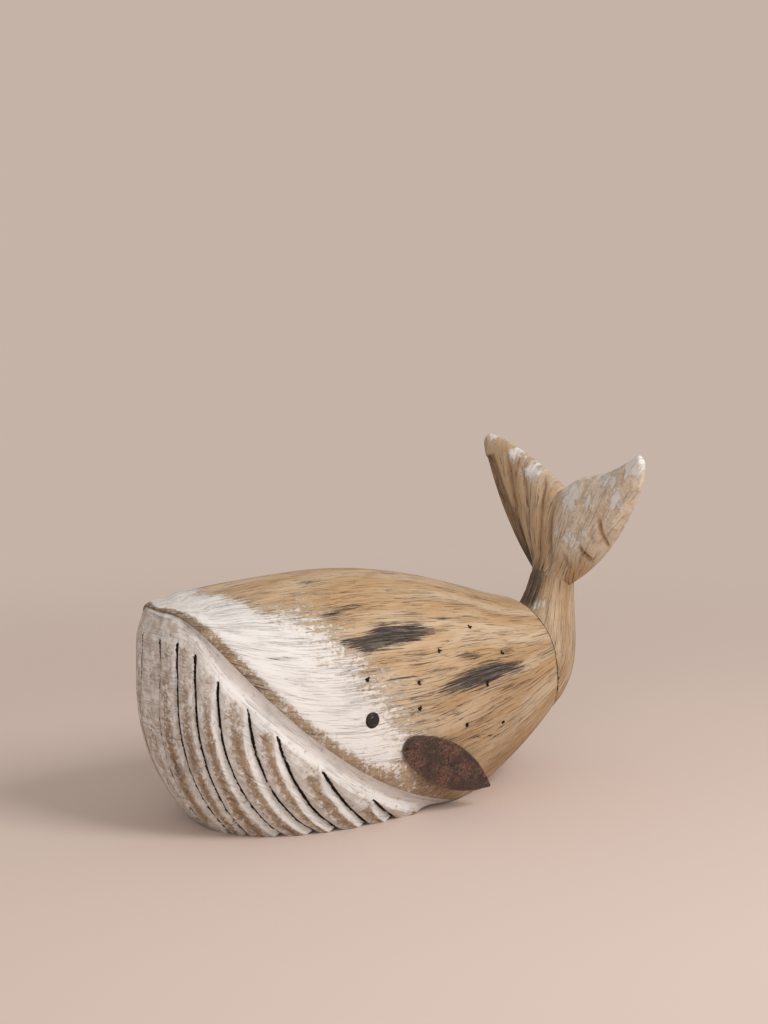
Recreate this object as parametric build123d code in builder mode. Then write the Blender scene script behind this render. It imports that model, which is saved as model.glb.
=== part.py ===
"""Carved wooden whale: a flat-based body block with a carved mouth and throat pleats, a separate
upswept tail glued and dowelled to it, two sheet-iron fins nailed to the flanks and two peg eyes.

Millimetres. +X runs from the nose to the tail, +Y to the whale's right, +Z up. The origin is on the
surface that the whale stands on, under the middle of its length.
"""

import math
import os

from build123d import *

# Body form, given as the stations and heights that a carver would mark on the block
nose_x = -160.0  # foremost point of the throat
shoulder_x = -48.0  # station where the body is widest and highest
taper_overrun = 32.0  # how far past the tail's seat the rear taper would run out
body_half_width = 70.0
back_height = 147.0  # at the shoulder
brow_height = 137.0  # back line carried forward to the nose
nose_height = 90.0  # height of the foremost point of the throat
widest_height = 65.0  # height of the widest line at the shoulder
keel_depth = 27.0  # how far the full round form would reach below the flat base
taper_end_half_width = 16.5
taper_end_back_height = 113.5
taper_end_keel_height = 54.0
taper_end_widest_height = 86.0
snout_bluntness = 40.0  # exponents of the rounded forms: 2 is an ellipse, more is blunter
cheek_bluntness = 2.3
throat_bluntness = 2.15
crown_roundness = 2.04
brow_roundness = 4.0  # what the crown squares up to at the nose
belly_roundness = 2.24
rib_flats = 20  # chisel flats from the back to the keel

# Mouth: a cove gouged below the lip, one arc down each flank, dying out at the snout and at the base
mouth_arc = ((-148.0, 121.0), (-69.0, 40.0), (18.0, 0.5))  # (x, z) of its middle in side view
cove_stations = (-153.0, -90.0, 20.0)
cove_radius = 7.5
cove_depth = 4.6
cove_front_fade = 4.2  # how much shallower the cove is at the snout
cove_rear_fade = 3.6  # and at its rear end

# Throat pleats on each side: where each one starts below the mouth and ends at the base
pleat_starts = (-159.0, -155.0, -149.5, -141.0, -127.5, -112.0, -84.5, -45.0)
pleat_ends = (-120.5, -116.0, -110.0, -93.0, -73.0, -58.0, -38.0, -18.0)
pleat_depth = 3.6
pleat_half_width = 2.2
pleat_start_fade = 2.4  # how much shallower a pleat is where it starts
pleat_end_height = -3.0
pleat_bow = 0.45  # how far forward the middle of a pleat swings

# Tail and its seat on the body. Places on the tail are measured from the middle of its seat:
# back towards the tail's end, out to the side and up.
seat_x = 117.0
seat_height = 70.0
seat_tilt = 15.0  # degrees that the seat leans forward of upright
neck_back = 24.0
neck_rise = 53.0
neck_lean = 8.5  # degrees that the neck leans back
neck_half_width = 15.5
neck_half_depth = 14.5
neck_sweep = 1.75  # how fast the tail narrows from its seat to the neck
neck_front_sweep = 1.5  # and along its front, which flares more
neck_top_back = 28.0  # the horn goes on inside the flukes up to here
neck_top_rise = 75.0
neck_top_half_width = 19.5
neck_top_half_depth = 10.5
dowel_radius = 6.0
dowel_length = 46.0
dowel_in_tail = 16.0
dowel_gap = 0.05
dowel_end_gap = 1.0

# Flukes: two lobes, carved by hand and not quite alike along their upper edges
fluke_span = 164.0
fluke_tip_back = 30.5
fluke_tip_drop = 11.0  # height of the blunt end of each lobe
fluke_tip_inset = 6.5
fluke_root_back = 23.0  # where the lower edges of the two lobes meet
fluke_root_rise = 42.0
fluke_edge_back = 30.0  # a point half-way along the lower edge of a lobe
fluke_edge_out = 50.0
fluke_edge_rise = 78.0
notch_back = 34.0
notch_rise = 110.0
lobe_top_back = 33.0
left_lobe_top = ((20.0, 120.0), (46.0, 127.0))  # (out, rise) along the upper edge
left_tip_rise = 143.5
right_lobe_top = ((20.0, 121.0), (46.0, 131.0))
right_tip_rise = 141.0
fluke_root_thickness = 25.0
fluke_tip_thickness = 8.0
tip_bluntness = 7.0
tail_flats = 8  # chisel flats on each half of the horn and of a lobe

# Eyes
eye_x = -51.0
eye_height = 69.0
eye_radius = 4.3
eye_dome_width = 1.4
eye_dome_height = 0.5
eye_stem_radius = 2.0
eye_stem_length = 14.0
eye_proud = 0.6
eye_sunk = 2.2
eye_gap = 0.05
eye_end_gap = 0.5

# Fins and their nails
fin_nail_x = -25.0
fin_nail_height = 49.5
fin_length = 81.0
fin_width = 27.5
fin_thickness = 1.2
fin_droop = 28.5  # degrees that the tip hangs below level
fin_nail_inset = 3.8  # from the fin's front end
fin_front_half_width = 7.4  # where the blunt front end turns into the long sides
fin_front_length = 5.3
fin_widest = 32.4  # from the front end
fin_tip_radius = 1.5
fin_gap = 0.3
nail_shank_radius = 0.9
nail_head_radius = 1.7
nail_head_thickness = 0.8
nail_head_chamfer = 0.4
nail_length = 28.0
nail_play = 0.08  # radial clearance in the fin's hole
nail_hole_gap = 0.02


def rounded_end(share, bluntness):
    """Superellipse quarter: 1 at share 0, falling to 0 at share 1."""
    return max(0.0, 1.0 - min(1.0, share) ** bluntness) ** (1.0 / bluntness)


def station(x):
    """Half width, widest height, top and bottom heights and crown exponent of the round form at x."""
    if x < shoulder_x:
        share = (shoulder_x - x) / (shoulder_x - nose_x)
        back = back_height - (back_height - brow_height) * share**2
        width = body_half_width * rounded_end(share, cheek_bluntness)
        widest = nose_height + (widest_height - nose_height) * (1.0 - share**2)
        top = nose_height + (back - nose_height) * rounded_end(share, snout_bluntness)
        bottom = nose_height - (nose_height + keel_depth) * rounded_end(share, throat_bluntness)
        return width, widest, top, bottom, crown_roundness + (brow_roundness - crown_roundness) * share**3
    share = (x - shoulder_x) / (taper_end_x - shoulder_x)
    width = taper_end_half_width + (body_half_width - taper_end_half_width) * (1.0 - share**2) ** 0.8
    widest = widest_height + (taper_end_widest_height - widest_height) * share**1.5
    top = back_height - (back_height - taper_end_back_height) * share**2 * (2.0 - share**4)
    bottom = -keel_depth + (taper_end_keel_height + keel_depth) * share**2.2
    return width, widest, top, bottom, crown_roundness


def rib_point(x, angle):
    """(y, z) on the left half section at x, from the back at 0 to the keel at pi."""
    width, widest, top, bottom, crown = station(x)
    up = math.cos(angle)
    power = 2.0 / (crown if up > 0 else belly_roundness)
    reach = top - widest if up > 0 else widest - bottom
    y = -width * max(0.0, math.sin(angle)) ** power
    z = widest + math.copysign(reach * abs(up) ** power, up)
    return y, z


def fill(x, y, z):
    """1 on the round form's surface, less inside it and more outside."""
    width, widest, top, bottom, crown = station(x)
    power = crown if z > widest else belly_roundness
    reach = top - widest if z > widest else widest - bottom
    return (abs(y) / max(width, 0.01)) ** power + (abs(z - widest) / max(reach, 0.01)) ** power


def flank_normal(x, y, z):
    """Outward unit normal of the round form."""
    step = 0.05
    slope = Vector(
        fill(x + step, y, z) - fill(x - step, y, z),
        fill(x, y + step, z) - fill(x, y - step, z),
        fill(x, y, z + step) - fill(x, y, z - step),
    )
    return slope.normalized()


def on_flank(x, z, lift=0.0):
    """Point of the left flank at x and z, lifted off the surface along its normal."""
    width, widest, top, bottom, crown = station(x)
    power = crown if z > widest else belly_roundness
    reach = top - widest if z > widest else widest - bottom
    y = -width * rounded_end(abs(z - widest) / reach, power)
    return Vector(x, y, z) + flank_normal(x, y, z) * lift


def flank_plane(x, z):
    """Plane touching the left flank at x and z, facing out, its x axis level towards the tail."""
    point = on_flank(x, z)
    normal = flank_normal(*point)
    return Plane(origin=point, x_dir=Vector(0, 0, 1).cross(normal), z_dir=normal)


taper_end_x = seat_x + taper_overrun

# Mouth line in side view
mouth_circle = ThreePointArc(*mouth_arc)
mouth_centre = mouth_circle.arc_center


def mouth_height(x):
    """Height of the middle of the cove at x; ahead of the arc's front it stays level."""
    run = min(mouth_circle.radius, abs(x - mouth_centre.X))
    return mouth_centre.Y - math.sqrt(mouth_circle.radius**2 - run**2)


cove_lifts = [cove_radius - cove_depth + fade for fade in (cove_front_fade, 0.0, cove_rear_fade)]
cove_points = [on_flank(x, mouth_height(x), lift) for x, lift in zip(cove_stations, cove_lifts)]

# Seat of the tail: a sawn plane, and how far the round form reaches up and down along it
lean = math.radians(seat_tilt)
seat_normal = Vector(math.cos(lean), 0, math.sin(lean))
seat_rise = Vector(-math.sin(lean), 0, math.cos(lean))
seat_plane = Plane(origin=(seat_x, 0, seat_height), x_dir=(0, 1, 0), z_dir=seat_normal)


def from_seat(back, out, rise):
    """Place on the tail, measured from the middle of its seat."""
    return Vector(seat_x + back, out, seat_height + rise)


def seat_reach(angle):
    """Distance from the seat's origin to the round form's surface, at an angle from straight up."""
    low, high = 0.0, 90.0
    for _ in range(40):
        middle = (low + high) / 2
        sideways = Vector(0, middle * math.sin(angle), 0)
        if fill(*(seat_plane.origin + seat_rise * (middle * math.cos(angle)) + sideways)) < 1.0:
            low = middle
        else:
            high = middle
    return low


eye_plane = flank_plane(eye_x, eye_height)
nail_plane = flank_plane(fin_nail_x, fin_nail_height)

# Body block: half the round form lofted through stations, mirrored, sawn flat below and at the tail.
# Each rib is a run of narrow chisel flats.
front_length = shoulder_x - nose_x
rear_length = taper_end_x - shoulder_x
front_shares = (0.007, 0.027, 0.062, 0.125, 0.235, 0.4, 0.67)
rear_shares = (0.0, 0.25, 0.5, 0.75, 0.96)
front_stations = [nose_x + front_length * share for share in front_shares]
rear_stations = [shoulder_x + rear_length * share for share in rear_shares]
rib_angles = [math.pi * step / rib_flats for step in range(rib_flats + 1)]

with BuildPart() as body:
    for x in front_stations + rear_stations:
        with BuildSketch(Plane.YZ.offset(x)):
            with BuildLine():
                Polyline(*[rib_point(x, angle) for angle in rib_angles], close=True)
            make_face()
    loft()
    split(bisect_by=Plane.XY, keep=Keep.TOP)
    split(bisect_by=seat_plane, keep=Keep.BOTTOM)
    # the cove under the lip
    with BuildLine(mode=Mode.PRIVATE):
        cove_path = ThreePointArc(*cove_points)
    with BuildSketch(Plane(origin=cove_path @ 0, z_dir=cove_path % 0)):
        RegularPolygon(cove_radius, 12)
    sweep(path=cove_path, mode=Mode.SUBTRACT)
    # the throat pleats, each one a V run along an arc from the mouth to the base
    for start_x, end_x in zip(pleat_starts, pleat_ends):
        share = (start_x - nose_x) / (pleat_starts[-1] - nose_x)
        middle_x = start_x + pleat_bow * math.sin(share * math.pi / 2) * (end_x - start_x)
        start_z = mouth_height(start_x) - cove_radius
        start = on_flank(start_x, start_z, pleat_start_fade)
        middle = on_flank(middle_x, (start_z + pleat_end_height) / 2)
        end = on_flank(end_x, pleat_end_height)
        with BuildLine(mode=Mode.PRIVATE) as pleat_line:
            pleat_path = ThreePointArc(start, middle, end)
        with BuildSketch(Plane(origin=start, x_dir=flank_normal(*start), z_dir=pleat_path % 0)):
            with BuildLine():
                Polyline(
                    (-pleat_depth, 0),
                    (0, pleat_half_width),
                    (2 * pleat_depth, 0),
                    (0, -pleat_half_width),
                    close=True,
                )
            make_face()
        sweep(path=pleat_path, mode=Mode.SUBTRACT)
    with Locations(eye_plane.offset(-eye_sunk)):
        Hole(eye_stem_radius + eye_gap, eye_stem_length + eye_end_gap)
    with Locations(eye_plane):
        Hole(eye_radius + eye_gap, eye_sunk)
    with Locations(nail_plane):
        Hole(nail_shank_radius + nail_hole_gap, nail_length)
    mirror(about=Plane.XZ)
    with Locations(seat_plane):
        Hole(dowel_radius + dowel_gap, dowel_length - dowel_in_tail + dowel_end_gap)
body.part.label = "body"

# Fluke lobes, both made on the right and lofted from the middle out; the sections close up near the tip
lobe_turns = [math.pi * step / tail_flats for step in range(2 * tail_flats)]
lobe_shares = [math.sin(math.radians(87) * step / 8) for step in range(9)]
lobes = []
for lobe_top, tip_rise in ((left_lobe_top, left_tip_rise), (right_lobe_top, right_tip_rise)):
    with BuildLine() as lobe_edges:
        outer = ThreePointArc(
            from_seat(fluke_root_back, 0, fluke_root_rise),
            from_seat(fluke_edge_back, fluke_edge_out, fluke_edge_rise),
            from_seat(fluke_tip_back, fluke_span / 2, tip_rise - fluke_tip_drop),
        )
        inner = Spline(
            from_seat(notch_back, 0, notch_rise),
            *[from_seat(lobe_top_back, out, rise) for out, rise in lobe_top],
            from_seat(fluke_tip_back, fluke_span / 2 - fluke_tip_inset, tip_rise),
        )
    with BuildPart() as lobe:
        for share in lobe_shares:
            low = outer @ share
            high = inner @ share
            along = (high - low).normalized()
            across = Vector(1, 0, 0) - along * along.X
            rounding = rounded_end(share, tip_bluntness)
            thickness = fluke_root_thickness + (fluke_tip_thickness - fluke_root_thickness) * share
            deep = rounding * thickness / 2
            wide = rounding * (high - low).length / 2
            with BuildSketch(Plane(origin=(low + high) / 2, x_dir=along, z_dir=along.cross(across))):
                with BuildLine():
                    ring = [(wide * math.cos(turn), deep * math.sin(turn)) for turn in lobe_turns]
                    Polyline(*ring, close=True)
                make_face()
        loft(ruled=True)
    lobes.append(lobe.part)

# Tail: half a horn from the seat up into the flukes, mirrored, with a lobe on each side
horn_turns = [math.pi * step / tail_flats for step in range(tail_flats + 1)]
lean_back = math.radians(neck_lean)
with BuildLine() as spine_line:
    spine = Spline(
        seat_plane.origin,
        from_seat(neck_back, 0, neck_rise),
        tangents=(seat_normal, (math.sin(lean_back), 0, math.cos(lean_back))),
    )
neck_top = Plane(origin=from_seat(neck_top_back, 0, neck_top_rise), x_dir=(0, 1, 0), z_dir=spine % 1)

with BuildPart() as tail:
    for step in range(8):
        share = step / 7
        ring = []
        for turn in horn_turns:
            neck = 1.0 / math.hypot(math.sin(turn) / neck_half_width, math.cos(turn) / neck_half_depth)
            sweep_power = neck_sweep + (neck_front_sweep - neck_sweep) * max(0.0, math.cos(turn)) ** 2
            radius = neck + (seat_reach(turn) - neck) * (1.0 - share) ** sweep_power
            ring.append((-radius * math.sin(turn), radius * math.cos(turn)))
        with BuildSketch(Plane(origin=spine @ share, x_dir=(0, 1, 0), z_dir=spine % share)):
            with BuildLine():
                Polyline(*ring, close=True)
            make_face()
    with BuildSketch(neck_top):
        with BuildLine():
            wide = neck_top_half_width
            deep = neck_top_half_depth
            ring = [(-wide * math.sin(turn), deep * math.cos(turn)) for turn in horn_turns]
            Polyline(*ring, close=True)
        make_face()
    loft(ruled=True)
    mirror(about=Plane.XZ)
    mirror(lobes[0], about=Plane.XZ)
    add(lobes[1])
    with Locations(seat_plane):
        Hole(dowel_radius + dowel_gap, dowel_in_tail + dowel_end_gap)
tail.part.label = "tail"

with BuildPart(seat_plane.offset(dowel_in_tail - dowel_length)) as tail_dowel:
    Cylinder(dowel_radius, dowel_length, align=(Align.CENTER, Align.CENTER, Align.MIN))
tail_dowel.part.label = "tail_dowel"

# Eyes: pegs with a rounded head let into the flank
with BuildPart(eye_plane.offset(-eye_sunk)) as eye_left:
    Cylinder(eye_radius, eye_sunk + eye_proud, align=(Align.CENTER, Align.CENTER, Align.MIN))
    chamfer(eye_left.edges().sort_by(Axis.Y)[0], eye_dome_height, eye_dome_width)
    Cylinder(eye_stem_radius, eye_stem_length, align=(Align.CENTER, Align.CENTER, Align.MAX))
eye_left.part.label = "eye_left"
with BuildPart() as eye_right:
    mirror(eye_left.part, about=Plane.XZ)
eye_right.part.label = "eye_right"

# Fins: flat leaves of sheet iron, each one hung on a single nail near its front end
droop = math.radians(fin_droop)
fin_plane = Plane(
    origin=nail_plane.origin + nail_plane.z_dir * fin_gap,
    x_dir=nail_plane.x_dir * math.cos(droop) - nail_plane.y_dir * math.sin(droop),
    z_dir=nail_plane.z_dir,
)
with BuildPart() as fin_left:
    with BuildSketch(fin_plane) as fin_outline:
        with BuildLine():
            tip = (fin_length - fin_nail_inset, 0)
            front = fin_front_length - fin_nail_inset
            widest = fin_widest - fin_nail_inset
            upper = ThreePointArc((front, fin_front_half_width), (widest, fin_width / 2), tip)
            lower = ThreePointArc((front, -fin_front_half_width), (widest, -fin_width / 2), tip)
            ThreePointArc(upper @ 0, (-fin_nail_inset, 0), lower @ 0)
        make_face()
        fillet(fin_outline.vertices().sort_by(Axis.X)[-1], fin_tip_radius)
        Circle(nail_shank_radius + nail_play, mode=Mode.SUBTRACT)
    extrude(amount=fin_thickness)
fin_left.part.label = "fin_left"
with BuildPart() as fin_right:
    mirror(fin_left.part, about=Plane.XZ)
fin_right.part.label = "fin_right"

with BuildPart(nail_plane.offset(2 * fin_gap + fin_thickness)) as fin_nail_left:
    Cylinder(nail_head_radius, nail_head_thickness, align=(Align.CENTER, Align.CENTER, Align.MIN))
    chamfer(fin_nail_left.edges().sort_by(Axis.Y)[0], nail_head_chamfer)
    Cylinder(nail_shank_radius, nail_length, align=(Align.CENTER, Align.CENTER, Align.MAX))
fin_nail_left.part.label = "fin_nail_left"
with BuildPart() as fin_nail_right:
    mirror(fin_nail_left.part, about=Plane.XZ)
fin_nail_right.part.label = "fin_nail_right"

os.makedirs("parts", exist_ok=True)
export_step(body.part, "parts/body.step")
export_step(tail.part, "parts/tail.step")
export_step(tail_dowel.part, "parts/tail_dowel.step")
export_step(eye_left.part, "parts/eye_left.step")
export_step(eye_right.part, "parts/eye_right.step")
export_step(fin_left.part, "parts/fin_left.step")
export_step(fin_right.part, "parts/fin_right.step")
export_step(fin_nail_left.part, "parts/fin_nail_left.step")
export_step(fin_nail_right.part, "parts/fin_nail_right.step")
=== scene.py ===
"""Looks of a carved wooden whale: worn whitewash, bare grain, burnt patches and rusty iron fins.

Lengths in the form functions are millimetres in the frame's axes: the nose points to -X, the whale's left
side is -Y and the base stands at z = 0. Meshes are written in metres.
"""

import math

import bpy
import numpy as np
from bpy.props import FloatProperty, FloatVectorProperty, PointerProperty
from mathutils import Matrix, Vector


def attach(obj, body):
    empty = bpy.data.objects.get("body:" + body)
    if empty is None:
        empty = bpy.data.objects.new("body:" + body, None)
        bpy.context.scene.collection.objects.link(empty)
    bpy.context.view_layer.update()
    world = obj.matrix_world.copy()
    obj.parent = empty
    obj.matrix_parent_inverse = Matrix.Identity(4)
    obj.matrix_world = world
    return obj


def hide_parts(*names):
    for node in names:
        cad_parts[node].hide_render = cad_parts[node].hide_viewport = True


bl_info = {
    "name": "Carved Whale",
    "version": (1, 0, 0),
    "blender": (4, 5, 0),
    "location": "View3D > Sidebar > Whale",
    "description": "Builds the carved surfaces and the worn finishes of a wooden whale",
    "category": "Object",
}

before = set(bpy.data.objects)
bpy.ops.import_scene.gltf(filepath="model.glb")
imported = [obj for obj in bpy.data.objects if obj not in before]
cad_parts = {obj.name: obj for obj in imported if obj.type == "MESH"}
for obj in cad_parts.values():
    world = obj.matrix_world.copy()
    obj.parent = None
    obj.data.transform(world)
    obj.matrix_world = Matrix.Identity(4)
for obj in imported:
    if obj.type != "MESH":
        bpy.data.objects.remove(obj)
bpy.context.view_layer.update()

MM = 0.001

# Round form of the body, as the solids have it
NOSE_X = -160.0
NOSE_CUT_X = -159.2
SHOULDER_X = -48.0
TAPER_END_X = 149.0
BODY_HALF_WIDTH = 70.0
BACK_HEIGHT = 147.0
BROW_HEIGHT = 137.0
NOSE_HEIGHT = 90.0
WIDEST_HEIGHT = 65.0
KEEL_DEPTH = 27.0
TAPER_END_HALF_WIDTH = 16.5
TAPER_END_BACK_HEIGHT = 113.5
TAPER_END_KEEL_HEIGHT = 54.0
TAPER_END_WIDEST_HEIGHT = 86.0
SNOUT_BLUNTNESS = 40.0
CHEEK_BLUNTNESS = 2.3
THROAT_BLUNTNESS = 2.15
CROWN_ROUNDNESS = 2.04
BROW_ROUNDNESS = 4.0
BELLY_ROUNDNESS = 2.24

# Lip edge in side view: an arc down the flank that levels out over the snout and ends at the base
LIP_ARC = ((-148.0, 130.0), (-70.0, 47.0), (18.0, 4.6))
LIP_FRONT_HEIGHT = 137.4
LIP_LEVELLING = 3.0
LIP_END_X = 33.0

# Throat pleats: where each one starts below the mouth, and where those behind the front one end at the base
PLEAT_STARTS = (-159.0, -155.0, -149.5, -141.0, -127.5, -112.0, -84.5, -45.0)
PLEAT_ENDS = (-116.0, -110.0, -93.0, -73.0, -58.0, -38.0, -18.0)
PLEAT_END_HEIGHT = -3.0
PLEAT_BOW = 0.45
MOUTH_ARC = ((-148.0, 121.0), (-69.0, 40.0), (18.0, 0.5))
MOUTH_HALF_HEIGHT = 7.5
SNOUT_ROWS = 25

# Front pleat of each side, places (y, z) on the snout
FRONT_PLEATS = {
    -1.0: ((-9.0, 126.0), (-5.5, 70.0), (-3.0, 16.0)),
    1.0: ((9.5, 126.0), (17.5, 70.0), (15.0, 16.0)),
}

# Marks on the flanks, places (x, z): pits, burnt streaks with a half height and a strength, and a crack drawn
# as a dark line
PITS = ((36, 111), (5, 102), (58, 93), (-52, 93), (-15, 86), (41, 77), (-16, 71), (23, 54), (58, 49))
BURNS = (
    (((-62, 115), (-48, 112), (-30, 115), (-16, 114.5), (4, 113.5)), 5.0, 1.3),
    (((2, 79), (17, 81), (36, 83), (53, 84), (75, 82)), 5.2, 1.3),
    (((-72, 130), (-52, 131), (-31, 130.5)), 2.6, 0.72),
    (((3, 120), (31, 116.5)), 1.2, 0.7),
    (((15, 97), (42, 94)), 2.2, 0.85),
    (((-42, 91.5), (-5, 89)), 1.3, 0.72),
    (((-14, 63.5), (10, 60.5)), 1.0, 0.7),
    (((24, 46), (64, 40)), 1.0, 0.68),
)
CRACK = ((-114, 111.6), (-98, 110.2), (-76, 109.2))

# Tail: seat, neck and lobes as the solids have them
SEAT_X = 117.0
SEAT_HEIGHT = 70.0
SEAT_TILT = math.radians(15.0)
NECK = (141.0, 0.0, 123.0)
NECK_LEAN = math.radians(8.5)
NECK_HALF_WIDTH = 15.5
NECK_HALF_DEPTH = 14.5
NECK_SWEEP = 1.75
NECK_FRONT_SWEEP = 1.5
NECK_TOP = (145.0, 0.0, 145.0)
FLUKE_ROOT = (140.0, 0.0, 112.0)
FLUKE_EDGE = (147.0, 50.0, 148.0)
FLUKE_TIP_X = 147.5
FLUKE_TIP_OUT = 82.0
FLUKE_TIP_INSET = 6.5
FLUKE_TIP_DROP = 11.0
NOTCH = (151.0, 0.0, 180.0)
LOBE_TOP_X = 150.0
LOBE_TOPS = {"left": ((20.0, 190.0), (46.0, 197.0)), "right": ((20.0, 191.0), (46.0, 201.0))}
TIP_HEIGHTS = {"left": 213.5, "right": 211.0}
FLUKE_ROOT_THICKNESS = 25.0
FLUKE_TIP_THICKNESS = 8.0
TIP_BLUNTNESS = 7.0

# Tail, in the looks only: clearance at the seat, the neck's end inside the flukes, the swell before it, how
# the lobes thin out and stop short of their tips, and the height and girths that the grain is drawn from
SEAT_CLEARANCE = 0.6
NECK_TOP_HALF_WIDTH = 10.0
NECK_TOP_HALF_DEPTH = 5.0
FLUKE_SWELL = 8.2
FLUKE_THINNING = 1.7
FLUKE_LAST_TURN = math.radians(87.0)
FLUKE_TIP_TRIM = 0.45
FLUKE_HEART = 92.0
FLUKE_GIRTH = 55.0
HORN_GIRTH = 30.0

# Finish of the body's flat seat behind the tail
SEAT_FLAT = {"paint": 0.05, "ink": 0.0, "burn_and_shade": 0.3, "soil_and_shade": 0.9, "haze": 0.0}

# Flutes carved up the flukes: places (y, z) from the neck outwards, a half width and a share of the depth
FLUTES = (
    (((15, 124), (18, 133), (32, 156), (47, 188), (61, 207)), 2.6, 1.0),
    (((10, 126), (17, 145), (23, 169), (30, 183), (42, 197)), 2.2, 0.9),
    (((4.5, 126), (6, 153), (11.5, 179), (17, 191)), 2.2, 0.8),
    (((-8, 126), (-4, 154), (0, 174)), 2.0, 0.7),
    (((-21, 131), (-18, 143)), 1.8, 0.6),
    (((-36, 138), (-29, 151)), 1.4, 0.9),
    (((-50, 148), (-48, 160), (-46.6, 172)), 1.2, 0.9),
)

# Patches of white left on the flukes: place (y, z), radius and strength
WHITE_PATCHES = (
    ((-20, 178), 10, 0.6), ((-60, 181), 9, 0.5), ((-73, 206), 13, 0.6), ((-48, 193), 9, 0.4),
    ((-26, 152), 7, 0.4), ((26, 190), 10, 0.5), ((46, 198), 9, 0.45), ((-8, 184), 8, 0.5),
    ((72, 209), 7, 0.4), ((-36, 176), 8, 0.35), ((-12, 155), 4, 0.5), ((-20, 151), 4, 0.55),
    ((-30, 150), 4, 0.5), ((-36, 157), 4, 0.45), ((-56, 192), 5, 0.5),
)

# Eyes, fins and nails; the pegs and stems are profiles of (radius, height) over the flank
EYE_PLACE = (-51.0, 69.0)
EYE_RADIUS = 4.3
EYE_PEG = ((1.9, -13.8), (1.9, -2.2), (EYE_RADIUS, -2.1), (EYE_RADIUS, -0.4))
NAIL_PLACE = (-25.0, 49.5)
NAIL_HEAD_RADIUS = 1.7
FIN_LENGTH = 81.0
FIN_WIDTH = 27.5
FIN_THICKNESS = 1.2
FIN_DROOP = math.radians(28.5)
FIN_NAIL_INSET = 3.8
FIN_FRONT = (5.3, 7.4)
FIN_WIDEST = 32.4
FIN_GAP = 0.3
NAIL_LIFT = 2.0 * FIN_GAP + FIN_THICKNESS
NAIL_STEM = ((0.2, -26.1), (0.88, -23.0), (0.88, NAIL_LIFT), (1.5, NAIL_LIFT))

SIDES = {"left": -1.0, "right": 1.0}

# Stage: tones of the floor, the wall and the sky, and the lamps with their place, size and power, in metres
# and watts
FLOOR_TONE = (0.66, 0.53, 0.46)
WALL_TONE = (0.565, 0.451, 0.392)
SKY_TONE = (1.0, 0.96, 0.93)
SKY_STRENGTH = 0.52
FLOOR_HALF = 40.0
FLOOR_FADE = (0.30, 0.85)
LAMP_AIM = (0.0, 0.0, 0.08)
LAMPS = (("key", (0.40, -1.25, 1.20), 0.7, 17.5), ("fill", (-1.3, -1.5, 0.8), 1.2, 9.0))

# Camera of the photograph
CAMERA_PLACE = (-0.8601, -1.2165, 0.4190)
CAMERA_AIM = (0.5729, 0.8041, -0.1592)
CAMERA_LENS = 86.5


def length_of(name, description, default):
    """Length property in metres."""
    return FloatProperty(name=name, description=description, default=default, unit="LENGTH")


def colour_of(name, description, default):
    """Colour property."""
    return FloatVectorProperty(name=name, description=description, default=default, subtype="COLOR")


class WhaleCarving(bpy.types.PropertyGroup):
    """Depths and widths of the carving"""

    cove_depth: length_of("Cove depth", "Depth of the gouge under the lip", 0.0046)
    lip_band: length_of("Lip band", "Width of the worn band above the lip", 0.007)
    hollow_depth: length_of("Hollow depth", "Depth of the soft hollow above the lip", 0.0012)
    pleat_depth: length_of("Pleat depth", "Depth of the throat pleats", 0.0038)
    pleat_wall: length_of("Pleat wall", "Width of the sloping wall of a pleat", 0.0052)
    flute_depth: length_of("Flute depth", "Depth of the flutes on the tail", 0.0032)
    hand_wobble: length_of("Hand wobble", "Unevenness left by the knife", 0.0005)


class WhaleFinish(bpy.types.PropertyGroup):
    """Colours of the wood, the paint and the iron"""

    bare_wood: colour_of("Bare wood", "Main colour of the bare wood", (0.47, 0.30, 0.158))
    pale_wood: colour_of("Pale wood", "Bleached streaks of the wood", (0.57, 0.425, 0.285))
    warm_wood: colour_of("Warm wood", "Oily brown patches of the wood", (0.33, 0.18, 0.08))
    worn_wood: colour_of("Worn wood", "Rubbed wood under the paint", (0.25, 0.155, 0.088))
    grain_dark: colour_of("Grain", "Dark lines of the grain", (0.075, 0.05, 0.038))
    whitewash: colour_of("Whitewash", "Thin white paint", (0.75, 0.71, 0.675))
    veil_wash: colour_of("Veil of whitewash", "Thin wash with the wood showing through", (0.77, 0.67, 0.555))
    soiled_wash: colour_of("Soiled whitewash", "White paint where it is dirty", (0.47, 0.38, 0.315))
    burnt: colour_of("Burnt wood", "Burnt patches", (0.022, 0.020, 0.021))
    char_grey: colour_of("Grey char", "Grey streaks in the burnt patches", (0.115, 0.098, 0.088))
    ink: colour_of("Groove line", "Black in the bottoms of the grooves", (0.010, 0.008, 0.007))
    eye_black: colour_of("Eye", "Eye pegs", (0.010, 0.009, 0.008))
    iron_dark: colour_of("Dark rust", "Rusty iron", (0.060, 0.034, 0.024))
    iron_red: colour_of("Red rust", "Fresh rust", (0.13, 0.046, 0.029))
    iron_pale: colour_of("Scuffs", "Scuffs and pale rust on the iron", (0.20, 0.135, 0.10))


def smoothstep(low, high, value):
    """0 below low, 1 above high and a smooth S between them."""
    t = np.clip((value - low) / (high - low), 0.0, 1.0)
    return t * t * (3.0 - 2.0 * t)


def blend(low, high, share):
    """Straight mix of two values."""
    return low + (high - low) * share


def unit(vectors):
    """Vectors scaled to length 1."""
    vectors = np.asarray(vectors, float)
    return vectors / np.maximum(np.linalg.norm(vectors, axis=-1, keepdims=True), 1e-9)


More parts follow.
